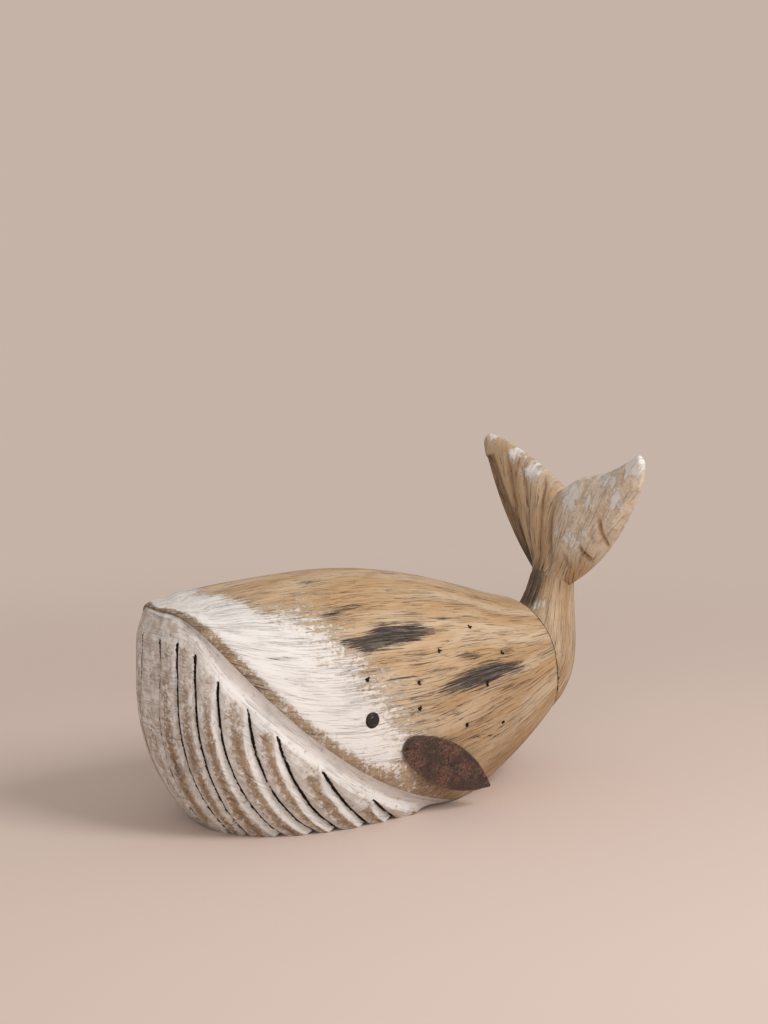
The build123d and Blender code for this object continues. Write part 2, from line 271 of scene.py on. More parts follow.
def lattice_noise(points, size, seed):
    """Smooth noise from -1 to 1: hashed values on a lattice of that size, blended between its corners."""
    p = np.asarray(points, float) / size
    cell = np.floor(p).astype(np.int64)
    part = p - cell
    part = part * part * (3.0 - 2.0 * part)
    total = np.zeros(p.shape[:-1])
    for corner in np.ndindex(2, 2, 2):
        i, j, k = (cell[..., n] + corner[n] for n in range(3))
        mixed = (i * 374761393 + j * 668265263 + k * 1103515245 + seed * 144665) & 0x7FFFFFFF
        mixed = ((mixed ^ (mixed >> 13)) * 1274126177) & 0x7FFFFFFF
        value = (mixed ^ (mixed >> 16)) / 0x3FFFFFFF - 1.0
        weight = np.ones(p.shape[:-1])
        for n in range(3):
            weight = weight * (part[..., n] if corner[n] else 1.0 - part[..., n])
        total += weight * value
    return total


def circle_through(a, b, c):
    """Centre and radius of the circle through three points of a plane."""
    (ax, ay), (bx, by), (cx, cy) = a, b, c
    d = 2.0 * (ax * (by - cy) + bx * (cy - ay) + cx * (ay - by))
    ra, rb, rc = ax * ax + ay * ay, bx * bx + by * by, cx * cx + cy * cy
    x = (ra * (by - cy) + rb * (cy - ay) + rc * (ay - by)) / d
    y = (ra * (cx - bx) + rb * (ax - cx) + rc * (bx - ax)) / d
    return x, y, math.hypot(ax - x, ay - y)


def hanging_arc(arc, x):
    """Height of the lower half of the circle through three (x, z) points."""
    cx, cz, radius = circle_through(*arc)
    run = np.clip(np.abs(x - cx), 0.0, radius)
    return cz - np.sqrt(radius**2 - run**2)


class SpaceArc:
    """Arc through three points in space, with places and directions at shares of its length."""

    def __init__(self, first, middle, last):
        p, q, r = (np.asarray(v, float) for v in (first, middle, last))
        a, b = q - p, r - p
        normal = np.cross(a, b)
        size = normal @ normal
        self.centre = p + (np.cross(normal, a) * (b @ b) + np.cross(b, normal) * (a @ a)) / (2.0 * size)
        self.radius = np.linalg.norm(p - self.centre)
        self.x = (p - self.centre) / self.radius
        self.z = normal / math.sqrt(size)
        self.y = np.cross(self.z, self.x)
        end = r - self.centre
        self.sweep = math.atan2(end @ self.y, end @ self.x) % (2.0 * math.pi)

    def at(self, share):
        """Points at those shares."""
        turn = np.asarray(share)[..., None] * self.sweep
        return self.centre + self.radius * (np.cos(turn) * self.x + np.sin(turn) * self.y)

    def along(self, share):
        """Directions of travel at those shares."""
        turn = np.asarray(share)[..., None] * self.sweep
        return -np.sin(turn) * self.x + np.cos(turn) * self.y

    def nearest(self, points):
        """Share of the nearest place on the circle, which may lie before 0 or after 1."""
        d = points - self.centre
        middle = self.sweep / 2.0
        turn = np.arctan2(d @ self.y, d @ self.x)
        turn = (turn - middle + math.pi) % (2.0 * math.pi) - math.pi + middle
        return turn / self.sweep


def smooth_run(points, share):
    """Places at shares of a smooth cubic run through a few points, with its ends left straight."""
    points = np.asarray(points, float)
    lengths = np.linalg.norm(np.diff(points, axis=0), axis=1)
    knots = np.concatenate([[0.0], np.cumsum(lengths)]) / lengths.sum()
    slopes = np.gradient(points, knots, axis=0)
    slopes[0] = 2.0 * (points[1] - points[0]) / (knots[1] - knots[0]) - slopes[1]
    slopes[-1] = 2.0 * (points[-1] - points[-2]) / (knots[-1] - knots[-2]) - slopes[-2]
    i = np.clip(np.searchsorted(knots, share, side="right") - 1, 0, len(knots) - 2)
    width = (knots[i + 1] - knots[i])[..., None]
    t = (np.asarray(share)[..., None] - knots[i][..., None]) / width
    return (
        points[i] * (2 * t**3 - 3 * t**2 + 1)
        + points[i + 1] * (3 * t**2 - 2 * t**3)
        + slopes[i] * width * (t**3 - 2 * t**2 + t)
        + slopes[i + 1] * width * (t**3 - t**2)
    )


def run_distance(points, run):
    """Distance from points of a plane to a run of straight pieces, and the share along it."""
    run = np.asarray(run, float)
    best = np.full(points.shape[:-1], np.inf)
    share = np.zeros(points.shape[:-1])
    pieces = len(run) - 1
    for n in range(pieces):
        way = run[n + 1] - run[n]
        t = np.clip(((points - run[n]) @ way) / (way @ way), 0.0, 1.0)
        d = np.linalg.norm(points - run[n] - t[..., None] * way, axis=-1)
        nearer = d < best
        best = np.where(nearer, d, best)
        share = np.where(nearer, (n + t) / pieces, share)
    return best, share


def rounded_end(share, bluntness):
    """Superellipse quarter: 1 at share 0, falling to 0 at share 1."""
    return np.maximum(0.0, 1.0 - np.clip(share, 0.0, 1.0) ** bluntness) ** (1.0 / bluntness)


def station(x):
    """Half width, widest height, top, bottom and crown exponent of the round form at x."""
    front = np.clip((SHOULDER_X - x) / (SHOULDER_X - NOSE_X), 0.0, 1.0)
    rear = np.clip((x - SHOULDER_X) / (TAPER_END_X - SHOULDER_X), 0.0, 1.0)
    back = BACK_HEIGHT - (BACK_HEIGHT - BROW_HEIGHT) * front**2
    ahead = x < SHOULDER_X
    width = np.where(
        ahead,
        BODY_HALF_WIDTH * rounded_end(front, CHEEK_BLUNTNESS),
        blend(TAPER_END_HALF_WIDTH, BODY_HALF_WIDTH, (1.0 - rear**2) ** 0.8),
    )
    widest = np.where(
        ahead,
        blend(NOSE_HEIGHT, WIDEST_HEIGHT, 1.0 - front**2),
        blend(WIDEST_HEIGHT, TAPER_END_WIDEST_HEIGHT, rear**1.5),
    )
    top = np.where(
        ahead,
        NOSE_HEIGHT + (back - NOSE_HEIGHT) * rounded_end(front, SNOUT_BLUNTNESS),
        blend(BACK_HEIGHT, TAPER_END_BACK_HEIGHT, rear**2 * (2.0 - rear**4)),
    )
    bottom = np.where(
        ahead,
        NOSE_HEIGHT - (NOSE_HEIGHT + KEEL_DEPTH) * rounded_end(front, THROAT_BLUNTNESS),
        blend(-KEEL_DEPTH, TAPER_END_KEEL_HEIGHT, rear**2.2),
    )
    crown = blend(CROWN_ROUNDNESS, BROW_ROUNDNESS, front**3)
    return width, widest, top, bottom, crown


def section(x, angle):
    """Point of the round form at x: a superellipse, angle 0 at the back and +-pi at the keel."""
    width, widest, top, bottom, crown = station(x)
    up = np.cos(angle)
    above = up > 0
    power = 2.0 / np.where(above, crown, BELLY_ROUNDNESS)
    reach = np.where(above, top - widest, widest - bottom)
    y = np.sign(angle) * width * np.abs(np.sin(angle)) ** power
    z = widest + np.sign(up) * reach * np.abs(up) ** power
    return np.stack(np.broadcast_arrays(x, y, z), -1)


def angle_at_height(x, z):
    """Section angle, from 0 to pi, at which the round form has that height."""
    _, widest, top, bottom, crown = station(x)
    above = z > widest
    power = np.where(above, crown, BELLY_ROUNDNESS) / 2.0
    reach = np.where(above, top - widest, widest - bottom)
    share = np.clip(np.abs(z - widest) / np.maximum(reach, 0.01), 0.0, 1.0) ** power
    return np.arccos(np.where(above, share, -share))


def fill(points):
    """1 on the round form's surface, less inside it and more outside."""
    x, y, z = np.moveaxis(np.asarray(points, float), -1, 0)
    width, widest, top, bottom, crown = station(x)
    above = z > widest
    power = np.where(above, crown, BELLY_ROUNDNESS)
    reach = np.where(above, top - widest, widest - bottom)
    across = (np.abs(y) / np.maximum(width, 0.01)) ** power
    return across + (np.abs(z - widest) / np.maximum(reach, 0.01)) ** power


def form_normal(points):
    """Outward unit normals of the round form, from its slope."""
    step = 0.05
    return unit(np.stack([fill(points + step * e) - fill(points - step * e) for e in np.eye(3)], -1))


def on_flank(x, z, side):
    """Point of the flank at x and z on one side."""
    x, z = np.asarray(x, float), np.asarray(z, float)
    return section(x, side * angle_at_height(x, z))


def on_snout(y, z):
    """Point of the snout at y and z, found by halving along x."""
    ahead, behind = NOSE_X, SHOULDER_X
    for _ in range(40):
        x = (ahead + behind) / 2.0
        if fill((x, y, z)) > 1.0:
            ahead = x
        else:
            behind = x
    return np.array((max(behind, NOSE_CUT_X), y, z))


def lip_height(x):
    """Height of the lip edge: the flank arc, smoothly held below the snout's level."""
    arc = hanging_arc(LIP_ARC, x)
    return -LIP_LEVELLING * np.logaddexp(-arc / LIP_LEVELLING, -LIP_FRONT_HEIGHT / LIP_LEVELLING)


def grid_faces(rows, columns):
    """Quads of a grid whose last column joins the first, wound so that they face out."""
    i, j = np.meshgrid(np.arange(rows - 1), np.arange(columns), indexing="ij")
    k = (j + 1) % columns
    quads = np.stack([i * columns + j, i * columns + k, (i + 1) * columns + k, (i + 1) * columns + j], -1)
    return quads.reshape(-1, 4)


def make_piece(name, points, faces, material, values=None, crease=None):
    """Mesh object from points in millimetres and faces, with float attributes for its material."""
    mesh = bpy.data.meshes.new(name)
    mesh.from_pydata((points * MM).reshape(-1, 3).tolist(), [], faces)
    for key, value in (values or {}).items():
        layer = mesh.attributes.new(key, "FLOAT", "POINT")
        layer.data.foreach_set("value", np.ascontiguousarray(value, np.float32).ravel())
    mesh.shade_smooth()
    if crease is not None:
        mesh.set_sharp_from_angle(angle=math.radians(crease))
    mesh.materials.append(material)
    piece = bpy.data.objects.new(name, mesh)
    bpy.context.scene.collection.objects.link(piece)
    return piece


def ring_piece(name, rings, material, values=None, crease=None):
    """Closed piece from rings of points: a grid closed round each ring, with a pole at each end."""
    rows, columns = rings.shape[:2]
    points = np.concatenate([rings.reshape(-1, 3), [rings[0].mean(0), rings[-1].mean(0)]])
    j = np.arange(columns)
    k = (j + 1) % columns
    first = np.full(columns, rows * columns)
    row = (rows - 1) * columns
    start = np.stack([first, k, j], -1)
    end = np.stack([first + 1, row + j, row + k], -1)
    faces = grid_faces(rows, columns).tolist() + start.tolist() + end.tolist()
    full = {}
    for key, value in (values or {}).items():
        full[key] = np.concatenate([value.ravel(), [value[0].mean(), value[-1].mean()]])
    return make_piece(name, points, faces, material, full, crease)


def dress(piece, body, nodes):
    """The piece rides on a body and stands for its solids, which are hidden."""
    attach(piece, body)
    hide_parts(*nodes)


class Tree:
    """Short way to add nodes to a node tree; an input may be a value or another node's output."""

    def __init__(self, tree):
        self.tree = tree

    def add(self, kind, inputs=(), **settings):
        """New node with its settings and inputs."""
        node = self.tree.nodes.new("ShaderNode" + kind)
        for key, value in settings.items():
            setattr(node, key, value)
        for key, value in dict(inputs).items():
            self.feed(node.inputs[key], value)
        return node

    def feed(self, socket, value):
        """Links an output to a socket, or sets the socket's value."""
        if isinstance(value, bpy.types.NodeSocket):
            self.tree.links.new(value, socket)
        elif hasattr(value, "__len__") and len(value) == 3 and socket.type == "RGBA":
            socket.default_value = (*value, 1.0)
        else:
            socket.default_value = value

    def math(self, operation, a, b=0.0, clamp=False):
        """Sum, product or other operation on two numbers."""
        return self.add("Math", {0: a, 1: b}, operation=operation, use_clamp=clamp).outputs[0]

    def times(self, a, b, clamp=False):
        """Product of two numbers."""
        return self.math("MULTIPLY", a, b, clamp)

    def swing(self, noise, size):
        """Noise moved to a middle of 0 and scaled."""
        return self.times(self.math("SUBTRACT", noise, 0.5), size)

    def distance(self, vector, place):
        """Distance from a place."""
        return self.add("VectorMath", {0: vector, 1: place}, operation="DISTANCE").outputs["Value"]

    def noise(self, vector, detail=3.0, roughness=0.55, scale=1.0):
        """Noise from about 0 to 1."""
        inputs = {"Vector": vector, "Scale": scale, "Detail": detail, "Roughness": roughness}
        return self.add("TexNoise", inputs).outputs["Fac"]

    def stretch(self, vector, scale):
        """Coordinates times a scale along each axis."""
        return self.add("VectorMath", {0: vector, 1: scale}, operation="MULTIPLY").outputs[0]

    def ramp(self, value, low, high, start=0.0, end=1.0):
        """Smooth step of a value from start to end."""
        inputs = {"Value": value, "From Min": low, "From Max": high, "To Min": start, "To Max": end}
        return self.add("MapRange", inputs, interpolation_type="SMOOTHSTEP").outputs["Result"]

    def mix(self, share, a, b):
        """Mix of two colours."""
        node = self.add("Mix", data_type="RGBA")
        self.feed(node.inputs[0], share)
        self.feed(node.inputs[6], a)
        self.feed(node.inputs[7], b)
        return node.outputs[2]

    def read(self, name):
        """Float attribute of the piece."""
        return self.add("Attribute", attribute_name=name).outputs["Fac"]

    def coordinates(self):
        """Object coordinates in metres."""
        return self.add("TexCoord").outputs["Object"]


def effect_group(name, inputs, outputs):
    """New shader node group with those sockets; returns it with its tree, inputs and outputs."""
    group = bpy.data.node_groups.new(name, "ShaderNodeTree")
    for key, kind in inputs.items():
        group.interface.new_socket(key, in_out="INPUT", socket_type="NodeSocket" + kind)
    for key, kind in outputs.items():
        group.interface.new_socket(key, in_out="OUTPUT", socket_type="NodeSocket" + kind)
    tree = Tree(group)
    source = group.nodes.new("NodeGroupInput").outputs
    sink = group.nodes.new("NodeGroupOutput").inputs
    return group, tree, source, sink


def grain_group():
    """Wood with its grain along x: broad tone, streaks, dark lines and a relief height."""
    group, tree, source, sink = effect_group(
        "carved_grain", {"Vector": "Vector"},
        {"Tone": "Float", "Streaks": "Float", "Lines": "Float", "Height": "Float"},
    )
    vector = source["Vector"]
    tone = tree.noise(tree.stretch(vector, (9.0, 60.0, 60.0)), 4.0, 0.6)
    streaks = tree.noise(tree.stretch(vector, (34.0, 720.0, 720.0)), 6.0, 0.74)
    drawn = tree.noise(tree.stretch(vector, (16.0, 760.0, 760.0)), 2.0, 0.5)
    contour = tree.math("ABSOLUTE", tree.math("SUBTRACT", drawn, 0.5))
    thin = tree.ramp(contour, 0.003, 0.022, 1.0, 0.0)
    patches = tree.ramp(tree.noise(tree.stretch(vector, (22.0, 110.0, 110.0)), 3.0), 0.44, 0.6)
    dashes = tree.noise(tree.stretch(vector, (42.0, 1100.0, 1100.0)), 3.0, 0.6)
    short = tree.ramp(dashes, 0.6, 0.65, 0.0, 0.9)
    lines = tree.math("MAXIMUM", tree.times(thin, patches), short)
    height = tree.math("SUBTRACT", tree.times(streaks, 0.8), lines)
    for key, value in (("Tone", tone), ("Streaks", streaks), ("Lines", lines), ("Height", height)):
        tree.feed(sink[key], value)
    return group


def wear_group():
    """Worn edge of a coat: its amount is broken up by streaks along the grain or by round flecks."""
    group, tree, source, sink = effect_group(
        "worn_coat", {"Vector": "Vector", "Grain": "Vector", "Amount": "Float", "Fleck": "Float"},
        {"Cover": "Float", "Body": "Float"},
    )
    streak = tree.noise(tree.stretch(source["Grain"], (44.0, 560.0, 560.0)), 6.0, 0.76)
    fleck = tree.noise(source["Vector"], 6.0, 0.78, 400.0)
    chosen = tree.add("Mix", {0: source["Fleck"], 2: streak, 3: fleck}, data_type="FLOAT").outputs[0]
    rough = tree.swing(chosen, 3.1)
    amount = tree.math("ADD", source["Amount"], rough)
    tree.feed(sink["Cover"], tree.ramp(amount, 0.42, 0.62))
    tree.feed(sink["Body"], tree.ramp(amount, 0.5, 1.05))
    return group


def hole_group():
    """Worm holes with ragged edges and the dark ring round an eye, both sides alike."""
    group, tree, source, sink = effect_group(
        "worm_holes", {"Vector": "Vector"}, {"Holes": "Float", "Ring": "Float"}
    )
    part = tree.add("SeparateXYZ", {0: source["Vector"]}).outputs
    across = tree.math("ABSOLUTE", part[1])
    folded = tree.add("CombineXYZ", {0: part[0], 1: across, 2: part[2]}).outputs[0]
    nearest = 1.0
    for hole in PITS:
        far = tree.distance(folded, tuple(on_flank(*hole, 1.0) * MM))
        nearest = tree.math("MINIMUM", far, nearest)
    ragged = tree.swing(tree.noise(source["Vector"], 3.0, 0.6, 620.0), 0.0042)
    tree.feed(sink["Holes"], tree.ramp(tree.math("ADD", nearest, ragged), 0.0013, 0.0018, 1.0, 0.0))
    far = tree.distance(folded, tuple(on_flank(*EYE_PLACE, 1.0) * MM))
    tree.feed(sink["Ring"], tree.ramp(far, 0.0047, 0.0051, 1.0, 0.0))
    return group


def rust_group():
    """Rust on sheet iron: red blotches, pale scuffs, dark specks and a pitted height."""
    group, tree, source, sink = effect_group(
        "sheet_rust", {"Vector": "Vector"},
        {"Red": "Float", "Scuff": "Float", "Speck": "Float", "Height": "Float"},
    )
    vector = source["Vector"]
    broad = tree.noise(vector, 5.0, 0.66, 72.0)
    fine = tree.noise(vector, 5.0, 0.76, 520.0)
    mottled = tree.math("ADD", broad, tree.swing(fine, 0.7))
    red = tree.ramp(mottled, 0.5, 0.62)
    scratched = tree.noise(tree.stretch(vector, (420.0, 420.0, 1000.0)), 5.0, 0.76)
    scuff = tree.times(tree.ramp(scratched, 0.51, 0.6), tree.ramp(broad, 0.38, 0.56))
    speck = tree.ramp(fine, 0.5, 0.36)
    for key, value in (("Red", red), ("Scuff", scuff), ("Speck", speck), ("Height", fine)):
        tree.feed(sink[key], value)
    return group


def new_material(name, roughness, specular):
    """Empty material with its shader; returns it with its tree and the shader."""
    material = bpy.data.materials.new(name)
    material.use_nodes = True
    shader = material.node_tree.nodes["Principled BSDF"]
    shader.inputs["Roughness"].default_value = roughness
    shader.inputs["Specular IOR Level"].default_value = specular
    return material, Tree(material.node_tree), shader


def shared_group(tree, name, maker, inputs):
    """Outputs of a node of the group of that name, which is made at its first use."""
    group = bpy.data.node_groups.get(name) or maker()
    return tree.add("Group", inputs, node_tree=group).outputs


def cover(tree, shader, colour, height, depth):
    """Gives a shader its colour and a relief of that depth in metres."""
    tree.feed(shader.inputs["Base Color"], colour)
    bump = tree.add("Bump", {"Strength": 0.7, "Distance": depth, "Height": height})
    tree.feed(shader.inputs["Normal"], bump.outputs[0])


def bare_wood(tree, finish, grain, soil_and_shade):
    """Colour of the bare wood: tone, streaks and lines of the grain, and dirt, which in places is painted
    shade.
    """
    wood = tree.mix(tree.ramp(grain["Tone"], 0.38, 0.62), finish.bare_wood, finish.pale_wood)
    wood = tree.mix(tree.ramp(grain["Streaks"], 0.44, 0.32, 0.0, 0.6), wood, finish.pale_wood)
    wood = tree.mix(tree.ramp(grain["Streaks"], 0.5, 0.68, 0.0, 0.75), wood, finish.warm_wood)
    wood = tree.mix(tree.times(soil_and_shade, 0.85), wood, finish.worn_wood)
    return tree.mix(tree.times(grain["Lines"], 0.8), wood, finish.grain_dark)


def painted_wood(name, finish):
    """Carved wood under whitewash, burns and ink as its attributes place them.

    Attributes: run and side, the way along and across the grain in metres; paint, fleck (streaks or flecks at
    the paint's edge), haze (a thin veil of wash), ink, burn and soil, each from 0 to 1. Burn is burns and, in
    places, painted shade drawn as char; soil is dirt, painted shade where it is raised and painted light
    where it is lowered.
    """
    material, tree, shader = new_material(name, 0.84, 0.22)
    place = tree.coordinates()
    fibre = tree.add("CombineXYZ", {0: tree.read("run"), 1: tree.read("side")}).outputs[0]
    warp = tree.add("TexNoise", {"Vector": place, "Scale": 16.0, "Detail": 2.0}).outputs["Color"]
    bend = {0: warp, 1: (0.0, 0.006, 0.0), 2: fibre}
    bent = tree.add("VectorMath", bend, operation="MULTIPLY_ADD").outputs[0]
    grain = shared_group(tree, "carved_grain", grain_group, {"Vector": bent})
    soil_and_shade = tree.read("soil_and_shade")
    smudge = tree.ramp(tree.noise(place, 5.0, 0.72, 150.0), 0.36, 0.62)
    wood = bare_wood(tree, finish, grain, tree.times(soil_and_shade, tree.ramp(smudge, 0.0, 1.0, 0.55, 1.0)))
    coat = shared_group(
        tree, "worn_coat", wear_group,
        {"Vector": place, "Grain": bent, "Amount": tree.read("paint"), "Fleck": tree.read("fleck")},
    )
    # Whitewash turns soiled where soil is high: dirt, and in places painted shade.
    wash = tree.mix(tree.times(soil_and_shade, smudge, clamp=True), finish.whitewash, finish.soiled_wash)
    wash = tree.mix(tree.ramp(grain["Streaks"], 0.52, 0.7, 0.0, 0.3), wash, finish.soiled_wash)
    wash = tree.mix(tree.times(grain["Lines"], 0.16), wash, finish.grain_dark)
    thick = tree.times(coat["Cover"], tree.ramp(coat["Body"], 0.0, 0.8, 0.6, 1.0))
    veil = tree.times(tree.read("haze"), tree.ramp(smudge, 0.0, 1.0, 0.45, 1.0))
    colour = tree.mix(thick, tree.mix(veil, wood, finish.veil_wash), wash)
    streaky = tree.noise(tree.stretch(bent, (36.0, 900.0, 900.0)), 6.0, 0.78)
    char = tree.mix(tree.ramp(streaky, 0.42, 0.56), finish.char_grey, finish.burnt)
    # Char where burn is high: burnt patches, and in places painted shade.
    burn_and_shade = tree.math("ADD", tree.read("burn_and_shade"), tree.swing(streaky, 3.6))
    colour = tree.mix(tree.ramp(burn_and_shade, 0.40, 0.90, 0.0, 0.95), colour, char)
    gaps = tree.swing(tree.noise(place, 5.0, 0.76, 260.0), 2.4)
    ink = tree.ramp(tree.math("ADD", tree.read("ink"), gaps), 0.42, 0.66)
    holes = shared_group(tree, "worm_holes", hole_group, {"Vector": place})
    ink = tree.math("MAXIMUM", ink, tree.math("MAXIMUM", holes["Holes"], holes["Ring"]))
    colour = tree.mix(ink, colour, finish.ink)
    height = tree.math("ADD", grain["Height"], tree.times(coat["Cover"], 0.8))
    cover(tree, shader, colour, height, 0.0007)
    return material


def rusty_iron(name, finish):
    """Dark rusty sheet iron; the attribute rim is 1 along its worn edge."""
    material, tree, shader = new_material(name, 0.7, 0.35)
    place = tree.coordinates()
    rust = shared_group(tree, "sheet_rust", rust_group, {"Vector": place})
    colour = tree.mix(tree.times(rust["Red"], 0.85), finish.iron_dark, finish.iron_red)
    colour = tree.mix(tree.times(rust["Scuff"], 0.7), colour, finish.iron_pale)
    colour = tree.mix(tree.times(rust["Speck"], 0.9), colour, finish.ink)
    colour = tree.mix(tree.times(tree.read("rim"), 0.4), colour, finish.iron_pale)
    cover(tree, shader, colour, rust["Height"], 0.0005)
    return material


def eye_paint(finish):
    """Black peg paint, a little worn."""
    material, tree, shader = new_material("eye_black", 0.38, 0.5)
    worn = tree.ramp(tree.noise(tree.coordinates(), 4.0, 0.6, 700.0), 0.58, 0.75)
    tree.feed(shader.inputs["Base Color"], tree.mix(worn, finish.eye_black, finish.iron_dark))
    return material


def plain_wood(name, finish):
    """Bare turned wood with its grain along X, for the hidden dowel."""
    material, tree, shader = new_material(name, 0.8, 0.25)
    grain = shared_group(tree, "carved_grain", grain_group, {"Vector": tree.coordinates()})
    wood = tree.mix(tree.ramp(grain["Tone"], 0.36, 0.64), finish.bare_wood, finish.pale_wood)
    tree.feed(shader.inputs["Base Color"], tree.mix(grain["Lines"], wood, finish.warm_wood))
    return material


def body_wood(finish):
    """The body's wood, shared by its two pieces."""
    return bpy.data.materials.get("whale_wood") or painted_wood("whale_wood", finish)


def front_stations(count):
    """x from the nose cut to the shoulder, evenly spaced along the rounded outline."""
    first = math.acos(((SHOULDER_X - NOSE_CUT_X) / (SHOULDER_X - NOSE_X)) ** (CHEEK_BLUNTNESS / 2.0))
    turn = np.linspace(first, math.pi / 2.0, count)
    return SHOULDER_X - (SHOULDER_X - NOSE_X) * np.cos(turn) ** (2.0 / CHEEK_BLUNTNESS)


def edge_distance(grid):
    """Distance over the surface from the first column of a half grid, measured square to that edge."""
    step = np.linalg.norm(np.diff(grid, axis=1), axis=-1)
    away = np.concatenate([np.zeros((len(grid), 1)), np.cumsum(step, axis=1)], axis=1)
    along = unit(np.gradient(grid[:, 0], axis=0))
    down = unit(grid[:, 4] - grid[:, 0])
    square = np.linalg.norm(np.cross(along, down), axis=-1)
    return away * np.clip(square, 0.25, 1.0)[:, None]


def grain_run(grid):
    """Way over the surface along each column, from the first row."""
    step = np.linalg.norm(np.diff(grid, axis=0), axis=-1)
    return np.concatenate([np.zeros((1, grid.shape[1])), np.cumsum(step, axis=0)])


def flank_share(x):
    """0 at the blunt snout and 1 on the flank."""
    return smoothstep(-155.0, -138.0, x)


def cove_depth_at(x, carving):
    """Depth of the cove under the lip: slight at the snout, full on the flank, dying out at its rear end."""
    return blend(1.6, carving.cove_depth / MM, flank_share(x)) * (1.0 - 0.75 * smoothstep(-5.0, LIP_END_X, x))


def cove_profile(away, x):
    """Share of the cove's depth at a distance below the lip."""
    flank = flank_share(x)
    middle, half = blend(3.0, 6.0, flank), blend(16.0, 7.0, flank)
    return np.clip(1.0 - ((away - middle) / half) ** 2, 0.0, 1.0)


def wobble(points, carving, seed):
    """Unevenness of hand carving, always inwards."""
    broad = lattice_noise(points, 27.0, seed) + 0.5 * lattice_noise(points, 11.0, seed + 1)
    fine = lattice_noise(points * np.array((0.25, 1.0, 1.0)), 2.6, seed + 2)
    return carving.hand_wobble / MM * (0.5 + 0.36 * broad + 0.16 * fine)


def back_grid(across):
    """Rings of the body above the lip and behind it, in equal steps of the section angle.

    Each ring runs at one station from the left lip edge over the back to the right one. Behind the lip its
    ends follow the base and then the keel, and the rings lean until the last one lies on the tail's seat.
    Returns the stations, the points and their section angles.
    """
    start = front_stations(400)
    start = start[station(start)[2] > lip_height(start) + 0.15]
    x = np.concatenate([start[::2], np.linspace(SHOULDER_X, SEAT_X, 205)[1:]])[:, None]
    lean = smoothstep(20.0, SEAT_X, x)
    edge = np.maximum(lip_height(x), 0.0)
    share = np.linspace(-1.0, 1.0, across)[None, :]
    place = np.broadcast_to(x, (len(x), across))
    for _ in range(6):
        turn = angle_at_height(place, np.maximum(edge, station(place)[3]))
        grid = section(place, share * turn)
        place = x - lean * (grid[..., 2] - SEAT_HEIGHT) * math.tan(SEAT_TILT)
    return x, grid, share * turn


def turn_under(x, grid):
    """Adds columns that turn in below the lip, square to the surface, and level where the base is flat."""
    normal = form_normal(grid[:, [0, -1]])
    level = np.zeros_like(normal)
    level[:, 0, 1] = -1.0
    level[:, 1, 1] = 1.0
    inward = -blend(normal, level, smoothstep(8.0, 30.0, x)[..., None])
    half_width = np.abs(grid[:, :1, 1:2])
    depth = np.minimum(np.array((0.8, 2.5, 5.5))[None, :, None], 0.45 * half_width)
    left = grid[:, :1] + inward[:, :1] * depth
    right = grid[:, -1:] + inward[:, 1:] * depth
    return np.concatenate([left[:, ::-1], grid, right], axis=1)


def flank_marks(grid):
    """Depth of the pits and strength of the burns and of the dark line along a crack, at places on the
    flanks.
    """
    side = grid[..., ::2]
    beside = smoothstep(15.0, 25.0, np.abs(grid[..., 1]))
    depth = np.zeros(side.shape[:-1])
    for pit in PITS:
        far = np.linalg.norm(side - np.array(pit, float), axis=-1)
        depth = np.maximum(depth, 0.7 * np.exp(-((far / 1.1) ** 2)))
    far, _ = run_distance(side, CRACK)
    burn_and_shade = 0.5 * (1.0 - smoothstep(0.3, 1.6, far))
    for run, half, strength in BURNS:
        far, share = run_distance(side, run)
        middle = 0.55 + 0.45 * np.sin(np.pi * np.clip(share, 0.0, 1.0))
        near = 1.0 - smoothstep(0.0, 1.0, far / (2.4 * half * middle))
        burn_and_shade = np.maximum(burn_and_shade, strength * middle * near)
    return depth * beside, burn_and_shade * beside


def back_paint(grid, away, lip, carving):
    """Whitewash on the head, how much its edge breaks up into flecks, and the wear on the lip band."""
    x, y, z = np.moveaxis(grid, -1, 0)
    limit = np.where(z > 51.7, -16.0 - 0.72 * (z - 51.7), -16.0 - 0.5 * (51.7 - z))
    crown = np.abs(y) + 16.0 - 46.0 * smoothstep(-134.0, -100.0, x)
    inside = np.minimum((limit - x) / 42.0, crown / 26.0)
    paint = 0.5 + 0.55 * np.clip(inside, -0.62, 1.0)
    low = smoothstep(34.0, 8.0, away) * lip * smoothstep(-8.0, -45.0, x)
    paint = np.maximum(paint, low * 0.95)
    paint -= 0.16 * smoothstep(118.0, 140.0, z) * smoothstep(-60.0, -90.0, x)
    band = carving.lip_band / MM * blend(0.55, 1.0, flank_share(x)) + 7.0 * smoothstep(-60.0, 5.0, x)
    worn = (1.0 - smoothstep(0.55 * band, 1.3 * band, away)) * lip
    paint = blend(paint, 0.42, worn)
    fleck = np.maximum(0.4, (1.0 - smoothstep(band, 2.4 * band, away)) * lip)
    return paint, fleck, worn


